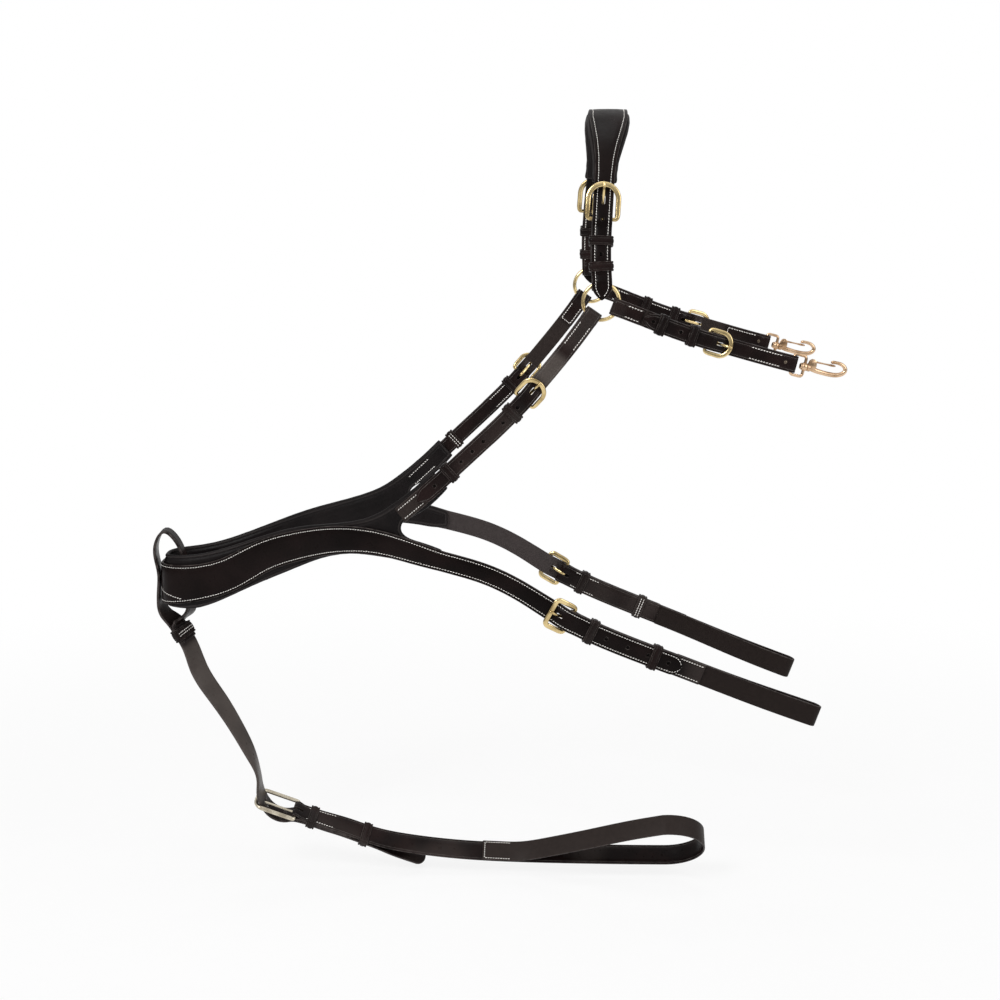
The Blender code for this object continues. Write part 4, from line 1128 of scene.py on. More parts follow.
    def tongue_hole(self) -> Mesh:
        """The punch for the long hole that the tongue goes through, with room for its lift.

        Returns:
            The punch.
        """
        d = 0.56 * self.reach
        room = 0.185 * self.reach + 0.2
        s, n = self.to_route([(d, self.billet_at(d))])[0]
        slope = math.degrees(math.atan2(self.billet_at(d - 1) - self.billet_at(d + 1), 2)) * -self.way
        return punch(self.route, s, n, room, TONGUE_WIDTH / 2 + 0.4, slope)

    def chape_slot(self) -> Mesh:
        """The punch for the slot in the chape's fold, for the tongue."""
        s, n = self.to_route([(-0.5, 0)])[0]
        return punch(self.route, s, n, 7.5, TONGUE_WIDTH / 2 + 0.4, depth=14)

    def stack(self, behind: float) -> Pair:
        """Lowest and highest level of the leather that a keeper some way behind the heel bar goes round."""
        top = self.low if self.drops and behind > self.fold else self.rest
        return self.level - self.ply - self.chape / 2, self.level + top + self.billet / 2

    def keeper(self, behind: float, sewn: bool = False) -> Mesh:
        """A keeper some way behind the heel bar, or else the stitches that close it.

        Args:
            behind: how far behind.
            sewn: whether the stitches are meant.

        Returns:
            Its mesh.
        """
        s, (low, high) = self.heel - self.way * behind, self.stack(behind)
        if sewn:
            return keeper_stitches(self.route, s, low, self.billet_width)
        return keeper_mesh(self.route, s, low, high, self.billet_width)


def ring_fold(width: float, thick: float, upper: float, lower: float) -> list[Pair]:
    """A strap end folded round a ring: from the lower ply, round the wire, to the upper ply.

    Args:
        width: the strap's width.
        thick: its thickness.
        upper: level of the upper ply once the two have closed up behind the wire.
        lower: the same of the lower ply.

    Returns:
        The fold's stations.
    """
    wire_at = math.sqrt(RING_RADIUS ** 2 - (width / 2) ** 2)
    inner = wire_at - RING_WIRE * RING_RADIUS / wire_at - RING_PLAY
    bend = RING_WIRE + RING_PLAY + thick / 2
    centre = inner + RING_WIRE + RING_PLAY
    behind = RING_RADIUS + RING_WIRE + RING_PLAY
    closed = behind + 5.5
    under = eased([(closed, lower), (behind, RING_LEVEL - bend), (centre, RING_LEVEL - bend)])
    over = eased([(centre, RING_LEVEL + bend), (behind, RING_LEVEL + bend), (closed, upper)])
    return under[:-1] + arc((centre, RING_LEVEL), bend, 270, 90) + over[1:]


class Nodes:
    """Short ways to add and join the nodes of one material, or of the world."""

    def __init__(self, owner: Material | World) -> None:
        """Starts from the owner's own shader.

        Args:
            owner: the material or the world.
        """
        owner.use_nodes = True
        self.owner = owner
        self.tree = owner.node_tree
        named = self.tree.nodes
        self.shader = named["Background" if isinstance(owner, World) else "Principled BSDF"]
        self.places = self.add("ShaderNodeTexCoord").outputs
        self.object = self.places["Object"]

    def add(self, kind: str, values: dict | None = None, **settings: object) -> Node:
        """A new node.

        Args:
            kind: its type.
            values: what its inputs are given.
            settings: its own settings.

        Returns:
            The node.
        """
        node = self.tree.nodes.new(kind)
        for key, value in settings.items():
            setattr(node, key, value)
        for key, value in (values or {}).items():
            self.put(node.inputs[key], value)
        return node

    def read(self, kind: str, output: str | int, values: dict | None = None,
             **settings: object) -> NodeSocket:
        """One output of a new node; the other arguments are those of add."""
        return self.add(kind, values, **settings).outputs[output]

    def put(self, socket: NodeSocket, value: Input) -> None:
        """Links a socket to an input, or sets the input's value.

        Args:
            socket: the input.
            value: what it is given.
        """
        if isinstance(value, NodeSocket):
            self.tree.links.new(value, socket)
        else:
            socket.default_value = value

    def shaded(self, values: dict) -> Material | World:
        """The owner, with the inputs of its shader given.

        Args:
            values: what they are given.

        Returns:
            The material or the world.
        """
        for key, value in values.items():
            self.put(self.shader.inputs[key], value)
        return self.owner

    def marked(self, mark: str) -> NodeSocket:
        """A value that the mesh's points are marked with."""
        return self.read("ShaderNodeAttribute", "Fac", attribute_name=mark)

    def noise(self, scale: float, detail: float = 3.0, stretch: Sequence | None = None) -> NodeSocket:
        """Noise in the object's own space.

        Args:
            scale: its scale per metre.
            detail: its detail.
            stretch: how much finer it is along each axis, if it isn't even.

        Returns:
            A value round 0.5.
        """
        vector = self.object
        if stretch:
            vector = self.read("ShaderNodeMapping", "Vector", {"Vector": vector, "Scale": stretch})
        return self.read("ShaderNodeTexNoise", "Fac", {"Vector": vector, "Scale": scale, "Detail": detail})

    def pores(self, scale: float, depth: float, strength: float) -> NodeSocket:
        """The pores of leather, as a bump.

        Args:
            scale: their scale per metre.
            depth: their depth in metres.
            strength: share of it that shows.

        Returns:
            The normal.
        """
        cells = self.read("ShaderNodeTexVoronoi", "Distance", {"Vector": self.object, "Scale": scale},
                          feature="SMOOTH_F1")
        return self.bump(cells, depth, strength)

    def spread(self, value: Input, low: float, high: float, start: Input = 0.0, end: Input = 1.0,
               soft: bool = True) -> NodeSocket:
        """A value moved from one range to another.

        Args:
            value: the value.
            low: where its range starts.
            high: where its range ends.
            start: what low becomes.
            end: what high becomes.
            soft: whether the change is softer at its ends.

        Returns:
            The moved value.
        """
        values = {"Value": value, "From Min": low, "From Max": high, "To Min": start, "To Max": end}
        return self.read("ShaderNodeMapRange", "Result", values,
                         interpolation_type="SMOOTHSTEP" if soft else "LINEAR")

    def mix(self, share: Input, first: Input, second: Input) -> NodeSocket:
        """Two colours mixed, from the first at a share of 0 to the second at 1."""
        return self.read("ShaderNodeMix", 2, {0: share, 6: first, 7: second}, data_type="RGBA")

    def math(self, operation: str, first: Input, second: Input) -> NodeSocket:
        """Two numbers put together."""
        return self.read("ShaderNodeMath", 0, {0: first, 1: second}, operation=operation)

    def bump(self, height: Input, distance: float, strength: float = 1.0,
             under: NodeSocket | None = None) -> NodeSocket:
        """A bumped normal.

        Args:
            height: the height, from 0 to 1.
            distance: what a height of 1 is, in metres.
            strength: share of it that shows.
            under: another bump that this one lies on.

        Returns:
            The normal.
        """
        values = {"Height": height, "Distance": distance, "Strength": strength}
        if under is not None:
            values["Normal"] = under
        return self.read("ShaderNodeBump", "Normal", values)


@dataclass(frozen=True)
class Finish:
    """A finish, and the record's material slot that it belongs to."""

    name: str
    slot: str | None

    def material(self) -> Material:
        """The finish's one material, made when it is first asked for."""
        return bpy.data.materials.get(self.name) or self.made(Nodes(bpy.data.materials.new(self.name)))

    def made(self, nodes: Nodes) -> Material:
        """The new material."""
        raise NotImplementedError


@dataclass(frozen=True)
class Leather(Finish):
    """Dyed bridle leather: smooth grain out, duller flesh in, worn edges, painted sheen and highlights."""

    grain: Colour = (0.0060, 0.0034, 0.0032, 1)
    warm: Colour = (0.0140, 0.0072, 0.0066, 1)
    # painted sheen colour, laid on the grain in random patches and along a strap's sheen stretch
    painted_sheen: Colour = (0.074, 0.062, 0.056, 1)
    flesh: Colour = (0.0200, 0.0145, 0.0128, 1)
    fibre: Colour = (0.0310, 0.0230, 0.0205, 1)
    # cut edges: worn paler, and partly a painted highlight along them
    rubbed_and_sheen: Colour = (0.095, 0.080, 0.075, 1)
    # painted highlight for pressed lines, keeper grooves and hole walls
    crease_highlight: Colour = (0.135, 0.120, 0.110, 1)
    roughness: float = 0.30
    specular: float = 0.10

    def made(self, nodes: Nodes) -> Material:
        """The leather's material.

        Args:
            nodes: its nodes.

        Returns:
            The material.
        """
        edge, face, highlight_mark = (nodes.marked(mark) for mark in MARKS)
        patches = nodes.noise(26.0, 3.0)
        streaks = nodes.noise(180.0, 4.0)
        colour = nodes.mix(nodes.spread(patches, 0.35, 0.7), self.grain, self.warm)
        # painted sheen in random broad patches on the grain
        colour = nodes.mix(nodes.spread(nodes.noise(11.0, 1.0), 0.50, 0.70, 0.0, 0.3), colour, self.painted_sheen)
        # painted sheen where the face mark is above 1, broken up by the patches
        sheen_share = nodes.math("MULTIPLY", nodes.spread(face, 1.3, 2.3),
                          nodes.spread(patches, 0.2, 0.6, 0.65, 1.0))
        colour = nodes.mix(sheen_share, colour, self.painted_sheen)
        inside = nodes.spread(face, -0.2, -0.9)
        colour = nodes.mix(inside, colour, nodes.mix(streaks, self.flesh, self.fibre))
        # random streaks that break up the edge colour and the painted highlight lines
        streak_mask = nodes.spread(streaks, 0.25, 0.75)
        # the cut edges and hole walls, worn paler and partly a painted highlight
        rim = nodes.math("MULTIPLY", nodes.spread(edge, 0.95, 0.15), streak_mask)
        colour = nodes.mix(nodes.math("MULTIPLY", rim, 0.75), colour, self.rubbed_and_sheen)
        # painted highlight lines on pressed lines, keeper grooves and hole walls
        line = nodes.math("MULTIPLY", nodes.spread(highlight_mark, 0.35, 1.0),
                          nodes.spread(streak_mask, 0.0, 1.0, 0.35, 0.9))
        colour = nodes.mix(line, colour, self.crease_highlight)
        rough = nodes.spread(streaks, 0.2, 0.8, self.roughness - 0.05, self.roughness + 0.09)
        rough = nodes.math("ADD", rough, nodes.math("MULTIPLY", inside, 0.16))
        wrinkles = nodes.bump(nodes.noise(320.0, 2.0), 0.00012, 0.4, nodes.pores(1500.0, 0.00003, 0.4))
        waves = nodes.bump(nodes.noise(48.0, 2.0), 0.0009, 0.35, wrinkles)
        return nodes.shaded({"Base Color": colour, "Roughness": rough, "Specular IOR Level": self.specular,
                             "Normal": waves})


@dataclass(frozen=True)
class SoftLeather(Finish):
    """Soft lining leather over padding, with fine creases and a painted highlight by its sewn groove."""

    colour: Colour = (0.0040, 0.0028, 0.0029, 1)
    light: Colour = (0.0090, 0.0065, 0.0066, 1)
    # painted highlight along the rolled edge, just outside the sewn groove
    seam: Colour = (0.040, 0.034, 0.033, 1)
    specular: float = 0.12

    def made(self, nodes: Nodes) -> Material:
        """The lining's material.

        Args:
            nodes: its nodes.

        Returns:
            The material.
        """
        patches = nodes.noise(34.0, 4.0)
        colour = nodes.mix(nodes.spread(patches, 0.3, 0.75), self.colour, self.light)
        # painted highlight: a paler line on the rolled edge just outside the groove
        fold = nodes.math("MULTIPLY", nodes.spread(nodes.marked("edge"), 1.6, 0.2), 0.5)
        colour = nodes.mix(fold, colour, self.seam)
        creases = nodes.bump(nodes.noise(210.0, 5.0), 0.0005, 0.5, nodes.pores(900.0, 0.00012, 0.5))
        return nodes.shaded({"Base Color": colour, "Roughness": nodes.spread(patches, 0.25, 0.8, 0.40, 0.56),
                             "Specular IOR Level": self.specular,
                             "Normal": nodes.bump(nodes.noise(36.0, 2.0), 0.0014, 0.4, creases)})


@dataclass(frozen=True)
class Brass(Finish):
    """Polished cast brass, with fine scratches and warmer, duller patches."""

    bright: Colour = (0.78, 0.61, 0.31, 1)
    dull: Colour = (0.44, 0.325, 0.15, 1)
    roughness: float = 0.19

    def made(self, nodes: Nodes) -> Material:
        """The brass' material.

        Args:
            nodes: its nodes.

        Returns:
            The material.
        """
        patches = nodes.noise(70.0, 3.0)
        scratches = nodes.noise(700.0, 6.0, (1.0, 0.25, 1.0))
        colour = nodes.mix(nodes.spread(patches, 0.38, 0.72), self.bright, self.dull)
        rough = nodes.spread(scratches, 0.3, 0.8, self.roughness - 0.04, self.roughness + 0.12)
        cast = nodes.bump(nodes.noise(150.0, 2.0), 0.00012, 0.3)
        return nodes.shaded({"Base Color": colour, "Metallic": 1.0, "Roughness": rough,
                             "Normal": nodes.bump(scratches, 0.00002, 0.4, cast)})


@dataclass(frozen=True)
class WaxedThread(Finish):
    """Waxed linen thread, off-white, with a twist."""

    colour: Colour = (0.92, 0.90, 0.86, 1)
    shade: Colour = (0.66, 0.62, 0.57, 1)

    def made(self, nodes: Nodes) -> Material:
        """The thread's material.

        Args:
            nodes: its nodes.

        Returns:
            The material.
        """
        fibres = nodes.noise(2600.0, 3.0)
        dirt = nodes.noise(60.0, 3.0)
        colour = nodes.mix(nodes.spread(fibres, 0.35, 0.7), self.colour, self.shade)
        colour = nodes.mix(nodes.spread(dirt, 0.55, 0.8, 0.0, 0.35), colour, self.shade)
        return nodes.shaded({"Base Color": colour, "Roughness": nodes.spread(fibres, 0.3, 0.7, 0.5, 0.75),
                             "Normal": nodes.bump(fibres, 0.0001, 0.6)})


STRAP_LEATHER = Leather("bridle_leather", "leather")
# its third colour is a darker painted sheen; then come its flesh and fibre colours
RAISED_LEATHER = Leather("raised_leather", "leather", (0.0040, 0.0024, 0.0022, 1),
                         (0.0085, 0.0048, 0.0045, 1), (0.0135, 0.0092, 0.0086, 1),
                         (0.040, 0.033, 0.032, 1), (0.058, 0.048, 0.047, 1), specular=0.07)
GIRTH_LEATHER = Leather("girth_leather", "leather", flesh=(0.0108, 0.0070, 0.0062, 1),
                        fibre=(0.0168, 0.0115, 0.0098, 1))
PAD_LEATHER = SoftLeather("lining_leather", "lining")
BRASS = Brass("polished_brass", "brass")
WARM_BRASS = Brass("warm_brass", "brass", (0.74, 0.52, 0.34, 1), (0.42, 0.26, 0.14, 1), 0.2)
PALE_BRASS = Brass("pale_brass", "brass", (0.66, 0.60, 0.48, 1), (0.38, 0.33, 0.25, 1), 0.2)
AGED_BRASS = Brass("aged_brass", "brass", (0.16, 0.13, 0.10, 1), (0.07, 0.055, 0.04, 1), 0.35)
THREAD = WaxedThread("waxed_thread", None)


@dataclass
class Bench:
    """Where finished meshes become pieces of the scene, each riding on its CAD body."""

    bodies: dict[str, str]

    @classmethod
    def of(cls, record: dict) -> "Bench":
        """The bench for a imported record, which says what body each node is in."""
        groups = record["behaviour"]["bodies"]
        return cls({node: body for body, nodes in groups.items() for node in nodes})

    def place(self, node: str, part: str, mesh: Mesh, finish: Finish,
              stands_for: bool = True) -> Object:
        """One piece.

        Args:
            node: the CAD node that it belongs to.
            part: what the piece is, the second half of its name.
            mesh: its mesh.
            finish: its finish.
            stands_for: whether the CAD node is shown by this piece instead.

        Returns:
            The piece.
        """
        name = f"{node}_{part}"
        mesh.name = name
        mesh.materials.clear()
        mesh.materials.append(finish.material())
        piece = bpy.data.objects.new(name, mesh)
        bpy.context.scene.collection.objects.link(piece)
        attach(piece, self.bodies[node])
        if stands_for:
            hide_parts(node)
        LOG.info("%s: %d faces on %s", name, len(mesh.polygons), self.bodies[node])
        return piece

    def pair(self, stem: str, part: str, mesh: Mesh, finish: Finish,
             stands_for: bool = True) -> None:
        """The near piece and its mirror image on the off side; the arguments are those of place."""
        mirrored = mirror_image(mesh)
        self.place("near_" + stem, part, mesh, finish, stands_for)
        self.place("off_" + stem, part, mirrored, finish, stands_for)

    def strap(self, stem: str, strap: Strap, punches: Sequence = (), paired: bool = True,
              extra: Sequence = (), finish: Leather = STRAP_LEATHER) -> None:
        """A strap with its holes and its stitches.

        Args:
            stem: the CAD node's name, without its side.
            strap: the strap, sewn.
            punches: what its holes are cut with.
            paired: whether it has a mirror image on the off side.
            extra: closed leather meshes that go with it.
            finish: its leather.
        """
        put = self.pair if paired else self.place
        mesh = strap.mesh()
        if punches:
            mesh = combined(mesh, joined(punches), "DIFFERENCE")
            mesh.set_sharp_from_angle(angle=math.radians(35))
        if extra:
            mesh = joined([mesh, *extra])
        put(stem, "leather", mesh, finish)
        if strap.thread.places:
            put(stem, "stitches", strap.thread.mesh(), THREAD, stands_for=False)

    def fittings(self, stem: str, buckle: Buckle, sliding: float, fixed: float = 0.0, paired: bool = True,
                 sewn: bool = False, brass: Brass = BRASS) -> None:
        """A buckle's frame, tongue and keepers.

        Args:
            stem: the fastening's name, without its side.
            buckle: the buckle.
            sliding: how far behind its heel bar the sliding keeper is.
            fixed: the same of the fixed keeper, if it is a node of its own.
            paired: whether they have a mirror image on the off side.
            sewn: whether the sliding keeper's seam shows on its inner face.
            brass: the buckle's finish.
        """
        put = self.pair if paired else self.place
        put(stem + "_buckle", "frame", buckle.frame_mesh(), brass)
        put(stem + "_tongue", "brass", buckle.tongue_mesh(), brass)
        if fixed:
            put(stem + "_keeper", "leather", buckle.keeper(fixed), STRAP_LEATHER)
        put(stem + "_runner", "leather", buckle.keeper(sliding), STRAP_LEATHER)
        if sewn:
            put(stem + "_runner", "stitches", buckle.keeper(sliding, sewn=True), THREAD, stands_for=False)


def holes(route: Route, places: Iterable[Pair], thick: float = STRAP_THICK) -> list[Mesh]:
    """Punches for round holes at (s, n) places in a strap of some thickness."""
    return [punch(route, s, n, HOLE_RADIUS, HOLE_RADIUS, depth=8, rim=thick / 2) for s, n in places]


@dataclass
class Pad:
    """A stuffed leather pad: a flat outline, filled by a cloth simulation and then laid in place."""

    outline: Table
    thick: float
    place: Callable[[float, float, float], np.ndarray]
    grid: float = 6.0
    swell: float = 1.5      # how far a point may move outwards in the simulation
    roll: float = 5.5       # width of the rolled edge, where the pad is sewn
    rim: float = 2.6

    def slab(self) -> Mesh:
        """The pad before it is filled: its outline as a slab with rounded rims, in a grid of faces.

        Returns:
            The slab, lying flat.
        """
        bm = bmesh.new()
        face = bm.faces.new([bm.verts.new((u, v, -self.swell)) for u, v in self.outline])
        made = bmesh.ops.extrude_face_region(bm, geom=[face])["geom"]
        verts = [item for item in made if isinstance(item, BMVert)]
        bmesh.ops.translate(bm, verts=verts, vec=(0, 0, 2 * self.swell - self.thick))
        rims = [e for e in bm.edges if abs(e.verts[0].co.z - e.verts[1].co.z) < 1e-6]
        bmesh.ops.bevel(bm, geom=rims, offset=self.rim, segments=2, profile=0.5, affect="EDGES",
                        material=-1, clamp_overlap=True)
        for axis in (0, 1):
            low = min(v.co[axis] for v in bm.verts)
            high = max(v.co[axis] for v in bm.verts)
            count = math.ceil((high - low) / self.grid)
            for i in range(1, count):
                place, normal = [0, 0, 0], [0, 0, 0]
                place[axis], normal[axis] = low + (high - low) * i / count, 1
                geom = list(bm.verts) + list(bm.edges) + list(bm.faces)
                bmesh.ops.bisect_plane(bm, geom=geom, dist=1e-4, plane_co=place, plane_no=normal)
        in_order(bm)
        bmesh.ops.remove_doubles(bm, verts=bm.verts, dist=0.25)
        in_order(bm)
        bmesh.ops.triangulate(bm, faces=[f for f in bm.faces if len(f.verts) > 4])
        in_order(bm)
        bmesh.ops.scale(bm, verts=bm.verts, vec=(MM, MM, MM))
        return finished(bm)

    def filled(self, mesh: Mesh) -> Mesh:
        """The pad blown up by a cloth simulation, no point moving further than its room.

        Args:
            mesh: the slab, which is changed.

        Returns:
            The same mesh.
        """
        rest = np.array([v.co for v in mesh.vertices])
        obj = bpy.data.objects.new("pad", mesh.copy())
        bpy.context.scene.collection.objects.link(obj)
        cloth = obj.modifiers.new("cloth", "CLOTH").settings
        cloth.use_pressure = True
        cloth.uniform_pressure_force = 4.0
        cloth.effector_weights.gravity = 0.0
        for frame in range(1, 21):
            bpy.context.scene.frame_set(frame)
        graph = bpy.context.evaluated_depsgraph_get()
        moved = np.array([v.co for v in obj.evaluated_get(graph).data.vertices])
        bpy.context.scene.frame_set(1)
        bpy.data.objects.remove(obj, do_unlink=True)
        shift = moved - rest
        far = np.linalg.norm(shift, axis=1)
        shift *= (np.minimum(far, self.swell * MM) / np.maximum(far, 1e-9))[:, None]
        mesh.vertices.foreach_set("co", (rest + shift).ravel())
        return mesh

    def edge_distance(self, points: np.ndarray) -> np.ndarray:
        """How far flat points lie inside the outline.

        Args:
            points: the points, (u, z) in rows.

        Returns:
            A distance for each.
        """
        ring = np.array(list(self.outline) + [self.outline[0]], float)
        start, run = ring[:-1], np.diff(ring, axis=0)
        away = points[:, None, :] - start[None]
        share = np.clip(np.sum(away * run, axis=2) / np.sum(run * run, axis=1), 0, 1)
        return np.linalg.norm(away - share[..., None] * run, axis=2).min(axis=1)

    def mesh(self) -> Mesh:
        """The finished pad in its place, with a sewn groove inside its rolled edge.

        Returns:
            Its mesh.
        """
        mesh = self.slab()
        mesh = self.filled(mesh)
        obj = bpy.data.objects.new("pad", mesh)
        smooth = obj.modifiers.new("subdivision", "SUBSURF")
        smooth.levels = smooth.render_levels = 2
        mesh = evaluated(obj)
        flat = np.array([v.co for v in mesh.vertices]) / MM
        inside = np.concatenate([self.edge_distance(part[:, :2]) for part in np.array_split(flat, 40)])
        groove = np.exp(-((inside - self.roll) / 0.9) ** 2)
        second = np.exp(-((inside - 2.2 * self.roll) / 1.4) ** 2)
        middle = -self.thick / 2
        side = np.sign(flat[:, 2] - middle)
        flat[:, 2] -= side * (1.15 * groove + 0.35 * second)
        placed = np.array([self.place(*point) for point in flat])
        mesh.vertices.foreach_set("co", (placed * MM).ravel())
        # distance from the line just outside the groove where the lining's painted highlight lies
        edge = mesh.attributes.new("edge", "FLOAT", "POINT")
        edge.data.foreach_set("value", np.abs(inside - self.roll + 1.6).astype(np.float32))
        bm = bmesh.new()
        bm.from_mesh(mesh)
        return finished(bm, sharp=80.0)


@dataclass
class ChestPiece:
    """The padded lining, the raised strap on it with its girth billets, and the girth loops."""

    inset: float = 3.0
    level: float = LEATHER_GAP + CHEST_THICK / 2

    def __post_init__(self) -> None:
        """Sets the girth buckle."""
        self.buckle = Buckle(CHEST_LINE, CHEST_LINE.where(GIRTH_HEEL), -1, self.level - 0.5, GIRTH_BUCKLE,
                             GIRTH_LOOP_THICK, CHEST_THICK, GIRTH_WIDTH, arched=False, fold=GIRTH_FOLD,
                             flare=1.6)

    def lining(self) -> Mesh:
        """The lining's mesh.

        Returns:
            Its mesh.
        """
        top, bottom = ([(-u, z) for u, z in run[:0:-1]] + run for run in (LINING_TOP, LINING_BOTTOM[::-1]))
        top, fork, bottom = (Spline(run, 4).points for run in (top, LINING_FORK, bottom))
        half = [tuple(p) for p in (*top, *fork, *bottom[::-1]) if p[0] > 1]
        outline = half + [(-u, z) for u, z in reversed(half)]
        return Pad(outline, 8.0, CHEST.place).mesh()

    def width(self, s: float) -> float:
        """The strap's width at a distance along its route."""
        u = abs(float(np.interp(s, CHEST_LINE.along, CHEST_LINE.pattern)))
        return lookup(CHEST_WIDTHS, u)

    def strap(self) -> Strap:
        """The strap across the chest, whose two ends are the girth billets.

        Returns:
            The strap, sewn.
        """
        line, middle = CHEST_LINE, CHEST_LINE.where(0)
        billet = self.buckle.billet_run()
        tip = line.where(GIRTH_TIP)
        near = eased([(middle + 3, self.level), (billet[0][0] - 1, self.level)], coarse=3.0)
        near += eased([near[-1], billet[0]])[1:] + billet[1:] + eased([billet[-1], (tip, billet[-1][1])])[1:]
        off = [(2 * middle - s, n) for s, n in reversed(near)]
        strap = Strap(line, off + near, self.width, CHEST_THICK, (Tip.ROUNDED, Tip.ROUNDED),
                      self.inset, crown=0.35, crease_highlight_share=0.0)
        strap.outline_seam(self.inset)
        for side in (1, -1):
            line = Spline([(side * u, z) for u, z in SCALLOP]).points
            level = self.level + CHEST_THICK / 2 + 0.15
            strap.thread.row([CHEST.place(u, z, level) for u, z in line],
                             [CHEST.direction(u) for u, z in line])
        return strap

    def loop(self) -> Strap:
        """A girth loop: from the buckle along the lower ply, round an open end, back along the inside.

        Returns:
            The strap, sewn.
        """
        buckle, opening, plateau = self.buckle, 14.0, 60
        end, back = CHEST_LINE.where(GIRTH_LOOP_END), CHEST_LINE.where(GIRTH_LOOP_BACK)
        level = buckle.level - buckle.ply
        inner = level - buckle.chape - GAP
        wrap = buckle.chape_wrap()
        radius = opening / 2
        out = eased([wrap[-1], (end - plateau, level), (end - radius, level + 0.001)])[1:]
        turn = arc((end - radius, level - radius), radius, 90, -90)
        home = eased([(end - radius, level - opening), (back + 16, inner), (back, inner)], fine=4.0)
        strap = Strap(CHEST_LINE, wrap + out[:-1] + turn + home[1:], GIRTH_WIDTH, GIRTH_LOOP_THICK,
                      groove=2.2, hide=Hide.GRAIN_IN)
        fold_end = buckle.heel + buckle.fold
        strap.seam(buckle.heel + 112, fold_end - 2, 3.0, -1, Face.GRAIN)
        strap.seam(buckle.heel + 14, buckle.heel + 44, 3.0, 1, Face.GRAIN)
        return strap

    def quilting(self, pad: Mesh) -> Mesh:
        """The shoulder chapes' rows where they come through on the inner face of the forks.

        Args:
            pad: the lining's mesh.

        Returns:
            The stitches of both sides.
        """
        route, thread = Route.wrapped(SHOULDER_ROUTE), Thread()
        tree = BVHTree.FromPolygons([v.co for v in pad.vertices], [list(p.vertices) for p in pad.polygons])
        for b in (-5.8, 5.8):
            row = []
            for s in np.linspace(SHOULDER_CHAPE_END - 34, SHOULDER_CHAPE_END - 2, 24):
                out = route.frame(s)[2]
                hit = tree.ray_cast(vec(route.place(s, b, -30)), Vector(out))[0]
                if hit is not None:
                    row.append((np.array(hit) / MM - 0.1 * out, -out))
            thread.row(*zip(*row))
        mesh = thread.mesh()
        return joined([mirror_image(mesh), mesh])

    def build(self, bench: Bench) -> None:
        """Puts the chest piece together.

        Args:
            bench: where its pieces go.
        """
        pad = bench.place("chest_lining", "pad", self.lining(), PAD_LEATHER)
        bench.place("chest_lining", "stitches", self.quilting(pad.data), THREAD, stands_for=False)
        strap = self.strap()
        level = self.buckle.level + self.buckle.rest
        cuts = holes(CHEST_LINE, [(CHEST_LINE.where(u), level) for u in GIRTH_HOLES])
        near = joined(cuts + [self.buckle.tongue_hole()])
        bench.strap("chest_strap", strap, [near, mirror_image(near)], paired=False, finish=RAISED_LEATHER)
        bench.strap("girth_loop", self.loop(), [self.buckle.chape_slot()], finish=GIRTH_LEATHER)
        bench.fittings("girth", self.buckle, *GIRTH_KEEPERS, sewn=True)


@dataclass
class ShoulderStraps:
    """The shoulder straps: a billet from the ring, and a chape sewn on the fork of the chest pad."""

    line: Route = field(default_factory=lambda: Route.wrapped(SHOULDER_ROUTE))
    inset: float = 3.2

    def __post_init__(self) -> None:
        """Sets the buckle."""
        level = LEATHER_GAP + CHAPE_THICK + GAP / 2
        self.buckle = Buckle(self.line, SHOULDER_HEEL, -1, level, SMALL_BUCKLE, CHAPE_THICK,
                             STRAP_THICK, SHOULDER_WIDTH, fold=SHOULDER_FOLD, drops=True)

    def billet(self) -> Strap:
        """The strap from the ring through the buckle.

        Returns:
            The strap, sewn.
        """
        hold = self.buckle
        upper = hold.level + hold.billet_in
        under = upper - STRAP_THICK - GAP
        fold = ring_fold(SHOULDER_WIDTH, STRAP_THICK, upper, under)
        run = eased([(SHOULDER_TURNED_BACK, under), (40, under)]) + fold
        billet = hold.billet_run()
        run += eased([fold[-1], billet[0]])[1:] + billet[1:]
        run += eased([billet[-1], (SHOULDER_TIP, billet[-1][1])])[1:]
        # the grain gets a painted sheen from 92 to 150 mm along it
        strap = Strap(self.line, run, SHOULDER_WIDTH, STRAP_THICK, (Tip.SQUARE, Tip.POINTED),
                      rubbed_and_sheen=(92, 150))
        strap.seam(29, SHOULDER_TURNED_BACK + 6, self.inset, 1, Face.GRAIN)
        strap.seam(29, SHOULDER_TURNED_BACK - 2, self.inset, -1, Face.GRAIN,
                   across_at=SHOULDER_TURNED_BACK - 2)
        return strap

    def chape(self) -> Strap:
        """The strap that holds the buckle, sewn on the chest pad's fork.

        Returns:
            The strap, sewn.
        """
        wrap = self.buckle.chape_wrap()
        run = wrap + eased([wrap[-1], (SHOULDER_CHAPE_END, wrap[-1][1])])[1:]
        strap = Strap(self.line, run, SHOULDER_WIDTH, CHAPE_THICK, hide=Hide.GRAIN_IN)
        end = SHOULDER_CHAPE_END
        strap.seam(end - 33, end - 2, self.inset, 1, Face.FLESH)
        strap.seam(SHOULDER_HEEL + 13, SHOULDER_HEEL + 48, self.inset, -1, Face.GRAIN)
        strap.seam(SHOULDER_HEEL + 13, SHOULDER_HEEL + 48, self.inset, 1, Face.GRAIN)
        return strap

    def build(self, bench: Bench) -> None:
        """Puts the shoulder straps together.

        Args:
            bench: where its pieces go.
        """
        hold = self.buckle
        drop = hold.heel + hold.fold
        levels = [(s, hold.level + (hold.rest if s < drop else hold.low)) for s in SHOULDER_HOLES]
        bench.strap("shoulder_strap", self.billet(), holes(self.line, levels) + [hold.tongue_hole()])
        bench.strap("shoulder_chape", self.chape(), [hold.chape_slot()])
        bench.fittings("shoulder", hold, *SHOULDER_KEEPERS, sewn=True)


